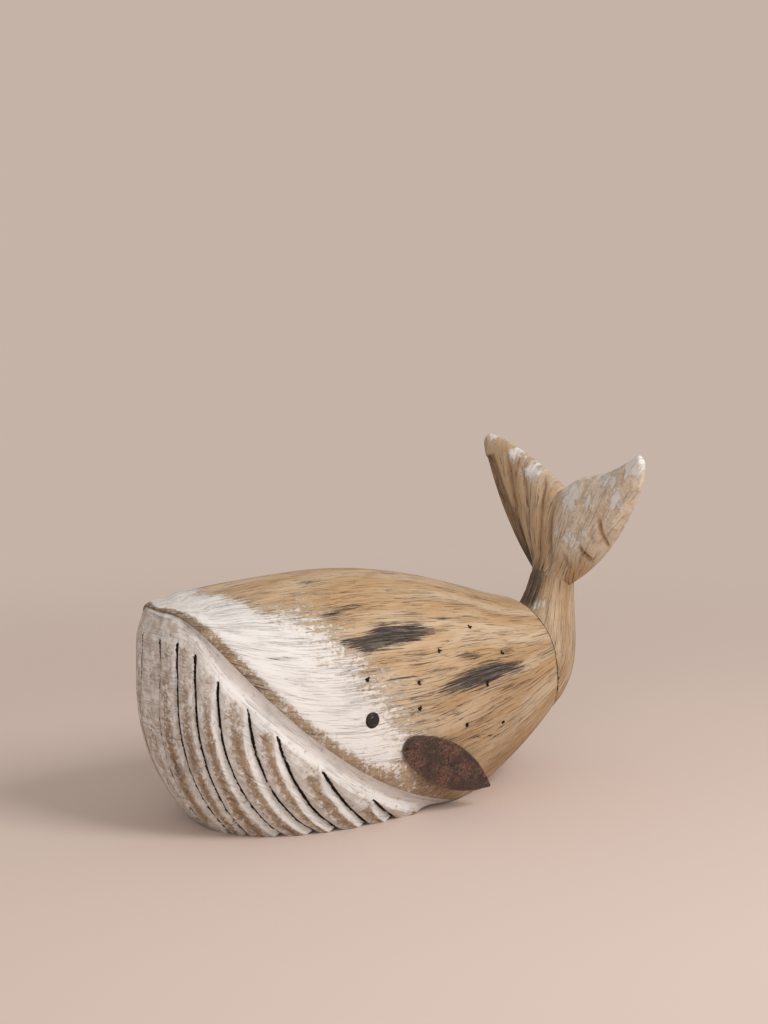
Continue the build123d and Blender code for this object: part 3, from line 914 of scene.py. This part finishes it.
class WhaleBackBuild(bpy.types.Operator):
    """Body above the lip, with its back, flanks and rear"""

    bl_idname = "whale.back"
    bl_label = "Back and flanks"

    def execute(self, context):
        carving, finish = context.scene.whale_carving, context.scene.whale_finish
        x, grid, angle = back_grid(221)
        half = grid.shape[1] // 2
        left = edge_distance(grid[:, : half + 1])
        right = edge_distance(grid[:, half:][:, ::-1])[:, ::-1]
        away = np.concatenate([left[:, :-1], right], axis=1)
        lip = 1.0 - smoothstep(5.0, LIP_END_X, x)
        normal = form_normal(grid)
        flank = flank_share(grid[..., 0])
        roll = 0.95 * flank * lip * np.clip(1.0 - away / 3.2, 0.0, 1.0) ** 2
        ahead = 1.0 - smoothstep(-92.0, -55.0, x)
        hollow = np.exp(-(((away - 18.0) / 6.5) ** 2)) - 0.35 * np.exp(-(((away - 32.0) / 7.0) ** 2))
        hollow = carving.hollow_depth / MM * hollow * flank * ahead
        pit, burn_and_shade = flank_marks(grid)
        burnt = lattice_noise(grid * np.array((0.2, 1.0, 1.0)), 2.2, 40)
        seat = smoothstep(-1.6, 0.0, (x - SEAT_X) * np.ones_like(away)) * 0.9
        eye = np.hypot(grid[..., 0] - EYE_PLACE[0], grid[..., 2] - EYE_PLACE[1])
        socket = 0.45 * (1.0 - smoothstep(3.6, 6.2, eye))
        depth = wobble(grid, carving, 3) + roll + hollow + pit + seat + socket
        depth = depth + 0.5 * burn_and_shade * np.clip(burnt, 0.0, 1.0)
        paint, fleck, worn = back_paint(grid, away, lip, carving)
        rim = (1.0 - flank) * (1.0 - smoothstep(1.5, 5.0, away))
        oiled = smoothstep(-40.0, 0.0, x) * (1.0 - smoothstep(70.0, 110.0, x))
        oiled = smoothstep(100.0, 70.0, grid[..., 2]) * oiled
        soil_and_shade = np.clip(0.8 * worn + rim + 0.25 * (1.0 - flank) + 0.3 * oiled, 0.0, 1.0)
        rings = turn_under(x, grid - normal * depth[..., None])
        rings[..., 2] = np.maximum(rings[..., 2], 0.0)
        sooty = np.maximum(0.5 * rim, 0.42 * worn * smoothstep(-85.0, -125.0, x))
        values = {
            "run": grid[..., 0] * MM, "side": BODY_HALF_WIDTH * angle * MM, "paint": paint, "fleck": fleck,
            "ink": 0.9 * seat, "burn_and_shade": np.maximum(burn_and_shade, sooty), "soil_and_shade": soil_and_shade,
            "haze": 0.3 * smoothstep(0.3, 0.8, paint),
        }
        values = {key: np.pad(value, ((0, 2), (3, 3)), mode="edge") for key, value in values.items()}
        for key, value in SEAT_FLAT.items():
            values[key][-2:] = value
        middle = rings[-1:].mean(axis=1, keepdims=True)
        flat = middle + (rings[-1:] - middle) * np.array((0.96, 0.5))[:, None, None]
        piece = ring_piece("body_back", np.concatenate([rings, flat]), body_wood(finish), values, crease=60)
        dress(piece, "whale", ["body"])
        return {"FINISHED"}


def pleat_paths(side):
    """Arcs of the throat pleats on one side, from below the mouth to the base."""
    paths = [SpaceArc(*(on_snout(y, z) for y, z in FRONT_PLEATS[side]))]
    for start, end in zip(PLEAT_STARTS[1:], PLEAT_ENDS):
        share = (start - NOSE_X) / (PLEAT_STARTS[-1] - NOSE_X)
        middle = start + PLEAT_BOW * math.sin(share * math.pi / 2.0) * (end - start)
        top = hanging_arc(MOUTH_ARC, start) - MOUTH_HALF_HEIGHT
        half_way = (top + PLEAT_END_HEIGHT) / 2.0
        paths.append(SpaceArc(
            on_flank(start, top, side),
            on_flank(middle, half_way, side),
            on_flank(end, PLEAT_END_HEIGHT, side),
        ))
    return paths


def throat_grid(down):
    """Left half of the throat: rows over the flat of the snout, then stations by steps of the section angle.

    Each row runs from the lip edge to the base or the keel. Returns the rows' x, the points and their
    normals.
    """
    x = np.concatenate([front_stations(400)[::2], np.linspace(SHOULDER_X, LIP_END_X, 150)[1:]])[:, None]
    top = np.where(station(x)[2] > lip_height(x), angle_at_height(x, lip_height(x)), 0.0)
    base = angle_at_height(x, np.maximum(station(x)[3], 0.0))
    share = np.linspace(0.0, 1.0, down)[None, :]
    grid = section(x, -(top + (base - top) * share))
    middle = np.array((NOSE_CUT_X, 0.0, grid[0, :, 2].mean()))
    spread = np.linspace(0.04, 1.0, SNOUT_ROWS + 1)[:-1, None, None]
    face = middle + (grid[0] - middle) * spread
    ahead = np.broadcast_to((-1.0, 0.0, 0.0), face.shape)
    x = np.concatenate([np.full((SNOUT_ROWS, 1), NOSE_CUT_X), x])
    return x, np.concatenate([face, grid]), np.concatenate([ahead, form_normal(grid)])


def carve_pleats(grid, normal, side, carving):
    """Depth of the pleats with a sloping front wall and a steep rear one, and the distances to the lines.

    Returns the depth, the ink of the bottoms, the lit walls, and the share across each rib from line to line.
    """
    shape = grid.shape[:-1]
    depth, ink, wall = (np.zeros(shape) for _ in range(3))
    before, after = np.full(shape, 40.0), np.full(shape, 40.0)
    for n, path in enumerate(pleat_paths(side)):
        share = path.nearest(grid)
        lateral = np.cross(path.along(share), normal) * side
        q = ((grid - path.at(share)) * lateral).sum(-1)
        q = q + 0.35 * lattice_noise(grid, 9.0, 60 + n)
        here = smoothstep(-0.03, 0.02, share)
        grown = 0.3 + 0.7 * smoothstep(0.0, 0.22, share)
        flank = smoothstep(-153.0, -134.0, PLEAT_STARTS[n])
        width = carving.pleat_wall / MM * blend(0.45, 1.0, flank) * grown
        width = width * (1.0 - 0.3 * smoothstep(0.6, 1.0, share))
        full = carving.pleat_depth / MM * blend(0.62, 1.0, flank) * here * (0.4 + 0.6 * grown)
        fall = np.clip(1.0 + q / width, 0.0, 1.0)
        steep = np.clip(1.0 - 0.72 * q / 1.2, 0.28, 1.0) * (q < 1.2)
        round_over = 0.28 * np.clip(1.0 - (q - 1.2) / 3.6, 0.0, 1.0) ** 2 * (q >= 1.2)
        depth = np.maximum(depth, full * np.where(q < 0.0, fall, steep + round_over))
        line = 1.0 - smoothstep(0.45, 1.3, np.abs(q - 0.15))
        broken = lattice_noise(grid, 7.0, 90 + n)
        ink = np.maximum(ink, here * line * (0.98 + 0.34 * broken))
        score = 1.0 - smoothstep(0.1, 0.7, np.abs(q + width + 0.5))
        ink = np.maximum(ink, here * score * (0.28 + 0.3 * broken))
        wall = np.maximum(wall, here * flank * smoothstep(-width - 0.6, -width + 0.4, q) * (q < 0.4))
        inside = (share > -0.02) & (share < 1.1)
        before = np.where(inside & (q > 0.0), np.minimum(before, q), before)
        after = np.where(inside & (q <= 0.0), np.minimum(after, -q), after)
    return depth, ink, wall, before / (before + after)


class WhaleThroatBuild(bpy.types.Operator):
    """Throat below the lip, with the mouth cove and the pleats"""

    bl_idname = "whale.throat"
    bl_label = "Throat and pleats"

    def execute(self, context):
        carving, finish = context.scene.whale_carving, context.scene.whale_finish
        x, left, left_normal = throat_grid(130)
        mirror = np.array((1.0, -1.0, 1.0))
        halves, values = [], []
        for side, grid, normal in ((-1.0, left, left_normal), (1.0, left * mirror, left_normal * mirror)):
            away = blend(lip_height(x) - grid[..., 2], edge_distance(grid), flank_share(x))
            depth, ink, wall, across = carve_pleats(grid, normal, side, carving)
            cove = cove_profile(away, x)
            flank = flank_share(x) * np.ones_like(away)
            depth = np.maximum(depth * smoothstep(3.0, 9.0, away), cove * cove_depth_at(x, carving))
            depth = depth + 0.7 * wobble(grid, carving, 5)
            low = smoothstep(105.0, 55.0, grid[..., 2])
            crown = np.clip(1.0 - np.abs(across - 0.5) / 0.36, 0.0, 1.0) * (1.0 - smoothstep(0.05, 0.4, cove))
            worn = crown * blend(0.3, 0.95, low)
            paint = 0.98 - 0.72 * worn * (1.0 - wall)
            # Soil is raised on the snout's front face as painted shade, as it is turned from the key lamp,
            # and lowered on the lit pleat walls and the cove's lower side as painted light.
            soil_and_shade = np.clip(0.55 + 0.3 * (1.0 - flank) + 0.45 * worn - wall - 0.85 * cove * flank, 0.0, 1.0)
            halves.append(grid - normal * depth[..., None])
            values.append({
                "run": grain_run(grid) * MM, "side": side * away * MM, "paint": paint,
                "fleck": np.ones_like(paint), "ink": ink * (1.0 - 0.9 * (cove > 0.25)),
                "burn_and_shade": np.zeros_like(paint), "soil_and_shade": soil_and_shade, "haze": 0.25 * smoothstep(0.3, 0.8, paint),
            })
        rings = np.concatenate([halves[1], halves[0][:, ::-1]], axis=1)
        rings[..., 2] = np.maximum(rings[..., 2], 0.0)
        joined = {key: np.concatenate([values[1][key], values[0][key][:, ::-1]], axis=1) for key in values[0]}
        piece = ring_piece("body_throat", rings, body_wood(finish), joined, crease=60)
        dress(piece, "whale", ["body"])
        return {"FINISHED"}


def seat_reach(turn):
    """Distance from the seat's middle to the round form, at an angle from straight up on the seat."""
    rise = np.array((-math.sin(SEAT_TILT), 0.0, math.cos(SEAT_TILT)))
    middle = np.array((SEAT_X, 0.0, SEAT_HEIGHT))
    way = np.cos(turn)[:, None] * rise + np.sin(turn)[:, None] * np.array((0.0, 1.0, 0.0))
    low, high = np.zeros(len(turn)), np.full(len(turn), 90.0)
    for _ in range(40):
        half = (low + high) / 2.0
        inside = fill(middle + way * half[:, None]) < 1.0
        low, high = np.where(inside, half, low), np.where(inside, high, half)
    return low


def horn_rings(count, around):
    """Rings of the tail's horn along a bent spine, from the seat to the neck and on into the flukes.

    The spine is a cubic that leaves the seat square to it and reaches the neck at its lean; the radius falls
    from the seat's outline to the neck's ellipse with a power of the way left.
    """
    middle, neck_place = np.array((SEAT_X, 0.0, SEAT_HEIGHT)), np.array(NECK)
    leave = np.array((math.cos(SEAT_TILT), 0.0, math.sin(SEAT_TILT)))
    arrive = np.array((math.sin(NECK_LEAN), 0.0, math.cos(NECK_LEAN)))
    reach = np.linalg.norm(neck_place - middle)
    t = np.linspace(0.0, 1.0, count)[:, None]
    spine = (
        middle * (2 * t**3 - 3 * t**2 + 1)
        + neck_place * (3 * t**2 - 2 * t**3)
        + reach * leave * (t**3 - 2 * t**2 + t)
        + reach * arrive * (t**3 - t**2)
    )
    way = np.gradient(spine, axis=0)
    way[0], way[-1] = leave, arrive
    turn = np.linspace(0.0, 2.0 * math.pi, around, endpoint=False)
    neck = 1.0 / np.hypot(np.sin(turn) / NECK_HALF_WIDTH, np.cos(turn) / NECK_HALF_DEPTH)
    power = NECK_SWEEP + (NECK_FRONT_SWEEP - NECK_SWEEP) * np.maximum(0.0, np.cos(turn)) ** 2
    radius = neck + (seat_reach(turn) - neck) * (1.0 - t) ** power
    side = np.array((0.0, 1.0, 0.0))
    up = np.cross(unit(way), side)
    rings = spine[:, None] + radius[..., None] * (
        np.cos(turn)[None, :, None] * up[:, None] + np.sin(turn)[None, :, None] * side
    )
    top = np.array(NECK_TOP) + (
        NECK_TOP_HALF_DEPTH * np.cos(turn)[:, None] * up[-1]
        + NECK_TOP_HALF_WIDTH * np.sin(turn)[:, None] * side
    )
    clear = SEAT_CLEARANCE * smoothstep(0.0, 4.0, np.arange(count))[:, None]
    short = np.maximum(0.0, clear - ((rings - middle) * leave).sum(-1))
    rings = rings + short[..., None] * leave
    onward = np.linspace(0.0, 1.0, 17)[1:, None, None]
    return np.concatenate([rings, rings[-1:] + (top - rings[-1])[None] * onward])


def fluke_edges(name, share):
    """Points of a lobe's outer and inner edges at shares from the middle to the tip."""
    tip = TIP_HEIGHTS[name] - FLUKE_TIP_TRIM
    out = FLUKE_TIP_OUT - FLUKE_TIP_TRIM
    outer = SpaceArc(FLUKE_ROOT, FLUKE_EDGE, (FLUKE_TIP_X, out, tip - FLUKE_TIP_DROP)).at(share)
    places = [NOTCH] + [(LOBE_TOP_X, aside, high) for aside, high in LOBE_TOPS[name]]
    inner = smooth_run(places + [(FLUKE_TIP_X, out - FLUKE_TIP_INSET, tip)], share)
    mirror = np.array((1.0, SIDES[name], 1.0))
    return outer * mirror, inner * mirror


def fluke_rings(count, around):
    """Rings of the flukes from the left tip through the middle to the right tip.

    Each ring runs between the two edges: straight up a bevel from the outer edge, then round like an ellipse.
    Returns the rings and, for each point, its share of the chord from the outer edge, its face and its climb
    up the bevel, which is 1 at the bevel's crest.
    """
    share = np.sin(np.linspace(0.0, FLUKE_LAST_TURN, count // 2 + 1))
    left, right = fluke_edges("left", share[:0:-1]), fluke_edges("right", share)
    low, high = np.concatenate([left[0], right[0]]), np.concatenate([left[1], right[1]])
    share = np.concatenate([share[:0:-1], share])
    chord = high - low
    length = np.linalg.norm(chord, axis=-1, keepdims=True)
    chord = chord / length
    across = unit(np.array((1.0, 0.0, 0.0)) - chord * chord[:, :1])
    rounding = rounded_end(share, TIP_BLUNTNESS)[:, None]
    thick = blend(FLUKE_ROOT_THICKNESS, FLUKE_TIP_THICKNESS, share[:, None] ** FLUKE_THINNING)
    turn = np.linspace(0.0, 2.0 * math.pi, around, endpoint=False)[None, :]
    along = np.cos(turn) * np.ones_like(share)[:, None]
    face = np.sin(turn) * np.ones_like(share)[:, None]
    far_side = smoothstep(-10.0, 20.0, low[:, 1:2])
    bevel = blend(0.2, 0.3 + 0.55 * share[:, None] ** 2, far_side)
    bevel = bevel * (smoothstep(0.05, 0.3, share) * (1.0 - smoothstep(0.8, 0.97, share)))[:, None]
    climb = (1.0 + along) / 2.0 / np.maximum(bevel, 1e-3)
    crest = np.sqrt(np.maximum(0.0, 1.0 - (2.0 * bevel - 1.0) ** 2))
    face = np.where(climb < 1.0, np.sign(face) * np.minimum(np.abs(face), climb * crest + 0.04), face)
    rings = ((low + high) / 2.0)[:, None] + rounding[..., None] * (
        along[..., None] * (chord * length / 2.0)[:, None] + face[..., None] * (across * thick / 2.0)[:, None]
    )
    return rings, (1.0 + along) / 2.0, face, np.clip(climb, 0.0, 2.0)


def flute_marks(grid, carving):
    """Depth, ink and brown painted shade of the flutes carved up the flukes, in front view."""
    plane = grid[..., 1:]
    depth, ink, flute_shade = (np.zeros(plane.shape[:-1]) for _ in range(3))
    for n, (run, half, strength) in enumerate(FLUTES):
        far, share = run_distance(plane, run)
        far = far + 0.5 * lattice_noise(grid, 6.0, 110 + n)
        fade = smoothstep(-0.05, 0.15, share) * (1.0 - smoothstep(0.6, 1.0, share))
        depth = np.maximum(depth, strength * fade * np.exp(-1.3 * np.abs(far) / half))
        # Painted shade: a brown darkening along the middle of each flute.
        flute_shade = np.maximum(flute_shade, strength * fade * np.exp(-((far / 1.4) ** 2)))
        broken = lattice_noise(grid, 8.0, 120 + n)
        ink = np.maximum(ink, fade * strength * (1.0 - smoothstep(0.2, 0.9, far)) * (0.28 + 0.3 * broken))
    return depth * carving.flute_depth / MM, ink, flute_shade


class WhaleTailBuild(bpy.types.Operator):
    """Tail: the horn and the flukes"""

    bl_idname = "whale.tail"
    bl_label = "Tail"

    def execute(self, context):
        carving, finish = context.scene.whale_carving, context.scene.whale_finish
        wood = painted_wood("tail_wood", finish)
        rings = horn_rings(110, 200)
        inward = unit(rings.mean(axis=1, keepdims=True) - rings)
        row = np.arange(len(rings))[:, None] * np.ones(rings.shape[1])
        seam = 1.0 - smoothstep(0.0, 2.5, row)
        flute, flute_ink, _ = flute_marks(rings, carving)
        high = smoothstep(112.0, 124.0, rings[..., 2])
        moved = rings + inward * (1.5 * wobble(rings, carving, 9) + 0.9 * seam + flute * high)[..., None]
        # Painted shade on the front of the horn below the flukes, drawn as char and dirt.
        horn_front_shade = smoothstep(142.0, 130.0, rings[..., 0]) * smoothstep(98.0, 112.0, rings[..., 2])
        horn_front_shade = horn_front_shade * smoothstep(-15.0, -2.0, rings[..., 1])
        # Painted shade in the gap at the top of the joint with the body, drawn as char.
        left_seat = np.linalg.norm(rings - rings[:1], axis=-1)
        gap_shade = smoothstep(5.0, 0.8, left_seat) * smoothstep(96.0, 106.0, rings[..., 2])
        scrape = np.linalg.norm(rings[..., 1:] - np.array((-9.0, 108.0)), axis=-1)
        scrape = np.where(rings[..., 0] < NECK[0], scrape, 99.0)
        turn = np.linspace(0.0, 2.0 * math.pi, rings.shape[1], endpoint=False)
        values = {
            "run": grain_run(rings) * MM, "side": HORN_GIRTH * turn * np.ones_like(row) * MM,
            "paint": 0.16 + 0.45 * (1.0 - smoothstep(1.0, 6.0, scrape)), "fleck": np.full_like(row, 0.2),
            "ink": np.maximum(0.9 * seam, flute_ink * high), "burn_and_shade": np.maximum(0.78 * horn_front_shade, 1.3 * gap_shade),
            "soil_and_shade": np.clip(0.3 + 0.7 * horn_front_shade, 0.0, 1.0), "haze": np.zeros_like(row),
        }
        values = {key: value[:, ::-1] for key, value in values.items()}
        piece = ring_piece("tail_horn", moved[:, ::-1], wood, values, crease=60)
        dress(piece, "whale", ["tail"])
        rings, chord, face, climb = fluke_rings(300, 180)
        flute, ink, flute_shade = flute_marks(rings, carving)
        middle = rings.mean(axis=1, keepdims=True)
        inward = -np.sign(face) * smoothstep(0.0, 0.5, np.abs(face))
        inward = np.array((1.0, 0.0, 0.0)) * inward[..., None]
        flute = flute * np.where(face < 0.0, 1.0, 0.35)
        moved = rings + inward * (flute + 1.6 * wobble(rings, carving, 12))[..., None]
        swell = 1.0 - smoothstep(116.0, 140.0, rings[..., 2])
        swell = swell * (1.0 - smoothstep(6.0, 19.0, np.abs(rings[..., 1])))
        moved[..., 0] -= FLUKE_SWELL * swell * smoothstep(0.1, 0.6, -face)
        edge = unit(middle - rings) * (0.5 * wobble(rings, carving, 15))[..., None]
        moved = moved + edge * (1.0 - smoothstep(0.3, 0.7, np.abs(face)))[..., None]
        plane = rings[..., 1:]
        near = smoothstep(5.0, -25.0, rings[..., 1])
        paint = 0.2 + 0.08 * near + 0.15 * smoothstep(0.8, 1.0, chord)
        heart = plane - np.array((0.0, FLUKE_HEART))
        for place, radius, strength in WHITE_PATCHES:
            far = np.linalg.norm(plane - np.array(place, float), axis=-1)
            far = far + 0.35 * radius * lattice_noise(rings, 4.0, 140)
            paint = np.maximum(paint, 0.2 + 1.3 * strength * (1.0 - smoothstep(0.1, 1.3, far / radius)))
        # The far lobe's outer bevel is darkened and its paint thinned: partly stain, partly painted shade, as
        # it faces away from the key lamp.
        bevel = (1.0 - smoothstep(0.85, 1.05, climb)) * smoothstep(0.0, 20.0, rings[..., 1])
        low = smoothstep(150.0, 122.0, rings[..., 2])
        veil = 0.6 * near + 0.1 + 0.4 * smoothstep(0.2, 0.6, paint)
        values = {
            "run": np.linalg.norm(heart, axis=-1) * MM,
            "side": FLUKE_GIRTH * np.arctan2(*np.moveaxis(heart, -1, 0)) * MM,
            "paint": np.clip(paint - 0.35 * bevel, 0.0, 1.0), "fleck": np.full_like(paint, 0.55), "ink": ink,
            "burn_and_shade": 0.42 * bevel + 0.75 * low * (1.0 - near),
            "soil_and_shade": np.clip(0.12 + 0.95 * bevel + 0.5 * low * (1.0 - near) + 0.9 * flute_shade, 0.0, 1.0),
            "haze": np.clip(veil - bevel - low - flute_shade, 0.0, 1.0),
        }
        piece = ring_piece("tail_flukes", moved, wood, values, crease=60)
        dress(piece, "whale", ["tail"])
        return {"FINISHED"}


def flank_axes(place, side):
    """Point of the flank, with axes towards the tail, upwards along the surface and outwards."""
    point = on_flank(*place, side)
    out = form_normal(point[None])[0]
    back = unit(np.cross((0.0, 0.0, 1.0), out) * -side)
    return point, back, np.cross(out, back) * -side, out


def turned_rings(profile, around, point, back, up, out):
    """Profile of (radius, height) rows turned about an axis that stands on the flank."""
    profile = np.asarray(profile, float)
    turn = np.linspace(0.0, 2.0 * math.pi, around, endpoint=False)
    flat = np.cos(turn)[None, :, None] * back + np.sin(turn)[None, :, None] * up
    return point + profile[:, :1, None] * flat + profile[:, 1:, None] * out


class WhaleEyesBuild(bpy.types.Operator):
    """Round-headed peg eyes"""

    bl_idname = "whale.eyes"
    bl_label = "Eyes"

    def execute(self, context):
        black = eye_paint(context.scene.whale_finish)
        run = np.linspace(1.0, 0.03, 22)[:, None]
        lift = 0.62 * np.sqrt(1.0 - run**2) - 0.34 * np.exp(-(((run - 0.62) / 0.11) ** 2))
        head = np.concatenate([EYE_RADIUS * run, lift], axis=1)
        for name, side in SIDES.items():
            rings = turned_rings(np.concatenate([EYE_PEG, head]), 56, *flank_axes(EYE_PLACE, side))
            rings = rings if side < 0 else rings[:, ::-1]
            piece = ring_piece("eye_" + name + "_peg", rings, black, crease=50)
            dress(piece, "whale", ["eye_" + name])
        return {"FINISHED"}


def fin_half_width(run):
    """Half width of the fin at a distance from its front end: a blunt front arc, then a long side arc."""
    front, shoulder = FIN_FRONT
    nose = circle_through((front, shoulder), (0.0, 0.0), (front, -shoulder))
    side = circle_through((front, shoulder), (FIN_WIDEST, FIN_WIDTH / 2.0), (FIN_LENGTH, 0.0))
    round_front = np.sqrt(np.maximum(0.0, nose[2] ** 2 - (run - nose[0]) ** 2))
    long_side = side[1] + np.sqrt(np.maximum(0.0, side[2] ** 2 - (run - side[0]) ** 2))
    return np.where(run < front, round_front, long_side)


def fin_rings(side):
    """Rings of a fin: across its face, over the worn edge and back along its underside; and the rim."""
    point, back, up, out = flank_axes(NAIL_PLACE, side)
    long = back * math.cos(FIN_DROOP) - up * math.sin(FIN_DROOP)
    wide = back * math.sin(FIN_DROOP) + up * math.cos(FIN_DROOP)
    run = FIN_LENGTH * (0.5 - 0.5 * np.cos(np.linspace(0.0, math.pi, 150)))
    run = np.clip(run, 0.05, FIN_LENGTH - 0.9)[:, None]
    half = fin_half_width(run)
    share = np.sin(np.linspace(-0.5, 0.5, 41) * math.pi)
    share = np.concatenate([share, share[::-1]])[None, :]
    face = np.concatenate([np.ones(41), np.zeros(41)])[None, :]
    inset = half * (1.0 - np.abs(share))
    ends = np.minimum(run, FIN_LENGTH - run)
    edge = np.minimum(inset, ends)
    place = point + (run - FIN_NAIL_INSET)[..., None] * long + (half * share)[..., None] * wide
    nibble = 0.35 * np.clip(lattice_noise(place, 3.2, 70) + 0.5 * lattice_noise(place, 1.5, 71), 0.0, 1.0)
    soft = np.clip(1.0 - edge / 0.7, 0.0, 1.0) ** 2
    dents = 0.12 * lattice_noise(place, 7.0, 73) + 0.07 * lattice_noise(place, 2.2, 74)
    level = face * (FIN_THICKNESS - 0.3 * soft - 0.2 + dents) + (1.0 - face) * 0.2 * soft
    place = place - (share * nibble * (1.0 - smoothstep(0.0, 2.0, inset)))[..., None] * wide
    rings = place + (FIN_GAP + level)[..., None] * out
    lower = smoothstep(0.1, -0.6, share)
    rim = (1.0 - smoothstep(0.2, 0.9, edge)) * face * blend(0.35, 1.0, lower)
    return rings, rim


class WhaleFinsBuild(bpy.types.Operator):
    """Sheet-iron fins and their nails"""

    bl_idname = "whale.fins"
    bl_label = "Fins and nails"

    def execute(self, context):
        finish = context.scene.whale_finish
        iron = rusty_iron("fin_rust", finish)
        nail_iron = rusty_iron("nail_rust", finish)
        bend = np.linspace(0.0, 0.48 * math.pi, 9)
        dome = np.stack([NAIL_HEAD_RADIUS * np.cos(bend), NAIL_LIFT + 0.15 + 0.6 * np.sin(bend)], -1)
        for name, side in SIDES.items():
            rings, rim = fin_rings(side)
            turned = slice(None, None, -1 if side < 0 else 1)
            rim = {"rim": rim[:, turned]}
            piece = ring_piece("fin_" + name + "_leaf", rings[:, turned], iron, rim, crease=50)
            dress(piece, name + "_fin", ["fin_" + name])
            rings = turned_rings(np.concatenate([NAIL_STEM, dome]), 32, *flank_axes(NAIL_PLACE, side))
            rings = rings if side < 0 else rings[:, ::-1]
            rim = {"rim": np.zeros(rings.shape[:2])}
            piece = ring_piece("nail_" + name + "_head", rings, nail_iron, rim, crease=50)
            dress(piece, "whale", ["fin_nail_" + name])
        return {"FINISHED"}


def seen_directly(tree):
    """1 for rays from the camera and for those that mirrors and clear pieces pass on, else 0."""
    path = tree.add("LightPath").outputs
    mirrored = tree.math("MAXIMUM", path["Is Glossy Ray"], path["Is Transmission Ray"])
    return tree.math("MAXIMUM", path["Is Camera Ray"], mirrored)


class WhaleStageBuild(bpy.types.Operator):
    """Pale floor, soft studio light and the camera"""

    bl_idname = "whale.stage"
    bl_label = "Stage"

    def execute(self, context):
        scene = context.scene
        scene.view_settings.view_transform = "Standard"
        floor_paint, tree, shader = new_material("pale_floor", 0.9, 0.2)
        shader.inputs["Base Color"].default_value = (*FLOOR_TONE, 1.0)
        far = tree.add("VectorMath", {0: tree.coordinates()}, operation="LENGTH").outputs["Value"]
        share = tree.times(seen_directly(tree), tree.ramp(far, *FLOOR_FADE))
        tone = tree.add("Emission", {"Color": WALL_TONE}).outputs[0]
        mixed = tree.add("MixShader", {0: share, 1: shader.outputs[0], 2: tone}).outputs[0]
        tree.feed(tree.tree.nodes["Material Output"].inputs["Surface"], mixed)
        corner = np.array(((-1.0, -1.0, 0.0), (1.0, -1.0, 0.0), (1.0, 1.0, 0.0), (-1.0, 1.0, 0.0)))
        make_piece("floor", corner * FLOOR_HALF / MM, [(0, 1, 2, 3)], floor_paint)
        world = bpy.data.worlds.new("studio")
        scene.world = world
        world.use_nodes = True
        tree = Tree(world.node_tree)
        light = world.node_tree.nodes["Background"]
        tree.feed(light.inputs["Color"], SKY_TONE)
        tree.feed(light.inputs["Strength"], SKY_STRENGTH)
        wall = tree.add("Background", {"Color": WALL_TONE}).outputs[0]
        mixed = tree.add("MixShader", {0: seen_directly(tree), 1: light.outputs[0], 2: wall}).outputs[0]
        tree.feed(world.node_tree.nodes["World Output"].inputs["Surface"], mixed)
        for name, place, size, power in LAMPS:
            light = bpy.data.lights.new(name, "AREA")
            light.size = size
            light.energy = power
            lamp = bpy.data.objects.new(name, light)
            lamp.location = place
            aim = Vector(LAMP_AIM) - lamp.location
            lamp.rotation_euler = aim.to_track_quat("-Z", "Y").to_euler()
            scene.collection.objects.link(lamp)
        lens = bpy.data.cameras.new("camera")
        lens.lens = CAMERA_LENS
        lens.clip_end = 100.0
        camera = bpy.data.objects.new("camera", lens)
        camera.location = CAMERA_PLACE
        camera.rotation_euler = Vector(CAMERA_AIM).to_track_quat("-Z", "Y").to_euler()
        scene.collection.objects.link(camera)
        scene.camera = camera
        return {"FINISHED"}


class WhaleDowelFinish(bpy.types.Operator):
    """Bare wood on the dowel in the tail joint"""

    bl_idname = "whale.dowel"
    bl_label = "Dowel"

    def execute(self, context):
        dowel = bpy.data.objects["tail_dowel"]
        dowel.data.materials.clear()
        dowel.data.materials.append(plain_wood("dowel_wood", context.scene.whale_finish))
        return {"FINISHED"}


OPERATORS = (
    WhaleBackBuild,
    WhaleThroatBuild,
    WhaleTailBuild,
    WhaleDowelFinish,
    WhaleEyesBuild,
    WhaleFinsBuild,
    WhaleStageBuild,
)


class WhalePanel(bpy.types.Panel):
    """Sidebar panel that lists the pieces"""

    bl_idname = "WHALE_PT_build"
    bl_label = "Carved whale"
    bl_space_type = "VIEW_3D"
    bl_region_type = "UI"
    bl_category = "Whale"

    def draw(self, context):
        for operator in OPERATORS:
            self.layout.operator(operator.bl_idname)


CLASSES = (WhaleCarving, WhaleFinish) + OPERATORS + (WhalePanel,)


def register():
    for cls in CLASSES:
        bpy.utils.register_class(cls)
    bpy.types.Scene.whale_carving = PointerProperty(type=WhaleCarving)
    bpy.types.Scene.whale_finish = PointerProperty(type=WhaleFinish)


def unregister():
    del bpy.types.Scene.whale_finish
    del bpy.types.Scene.whale_carving
    for cls in reversed(CLASSES):
        bpy.utils.unregister_class(cls)


def main():
    """Builds every piece in order."""
    register()
    bpy.ops.whale.back()
    bpy.ops.whale.throat()
    bpy.ops.whale.tail()
    bpy.ops.whale.dowel()
    bpy.ops.whale.eyes()
    bpy.ops.whale.fins()
    bpy.ops.whale.stage()


if __name__ == "__main__":
    main()
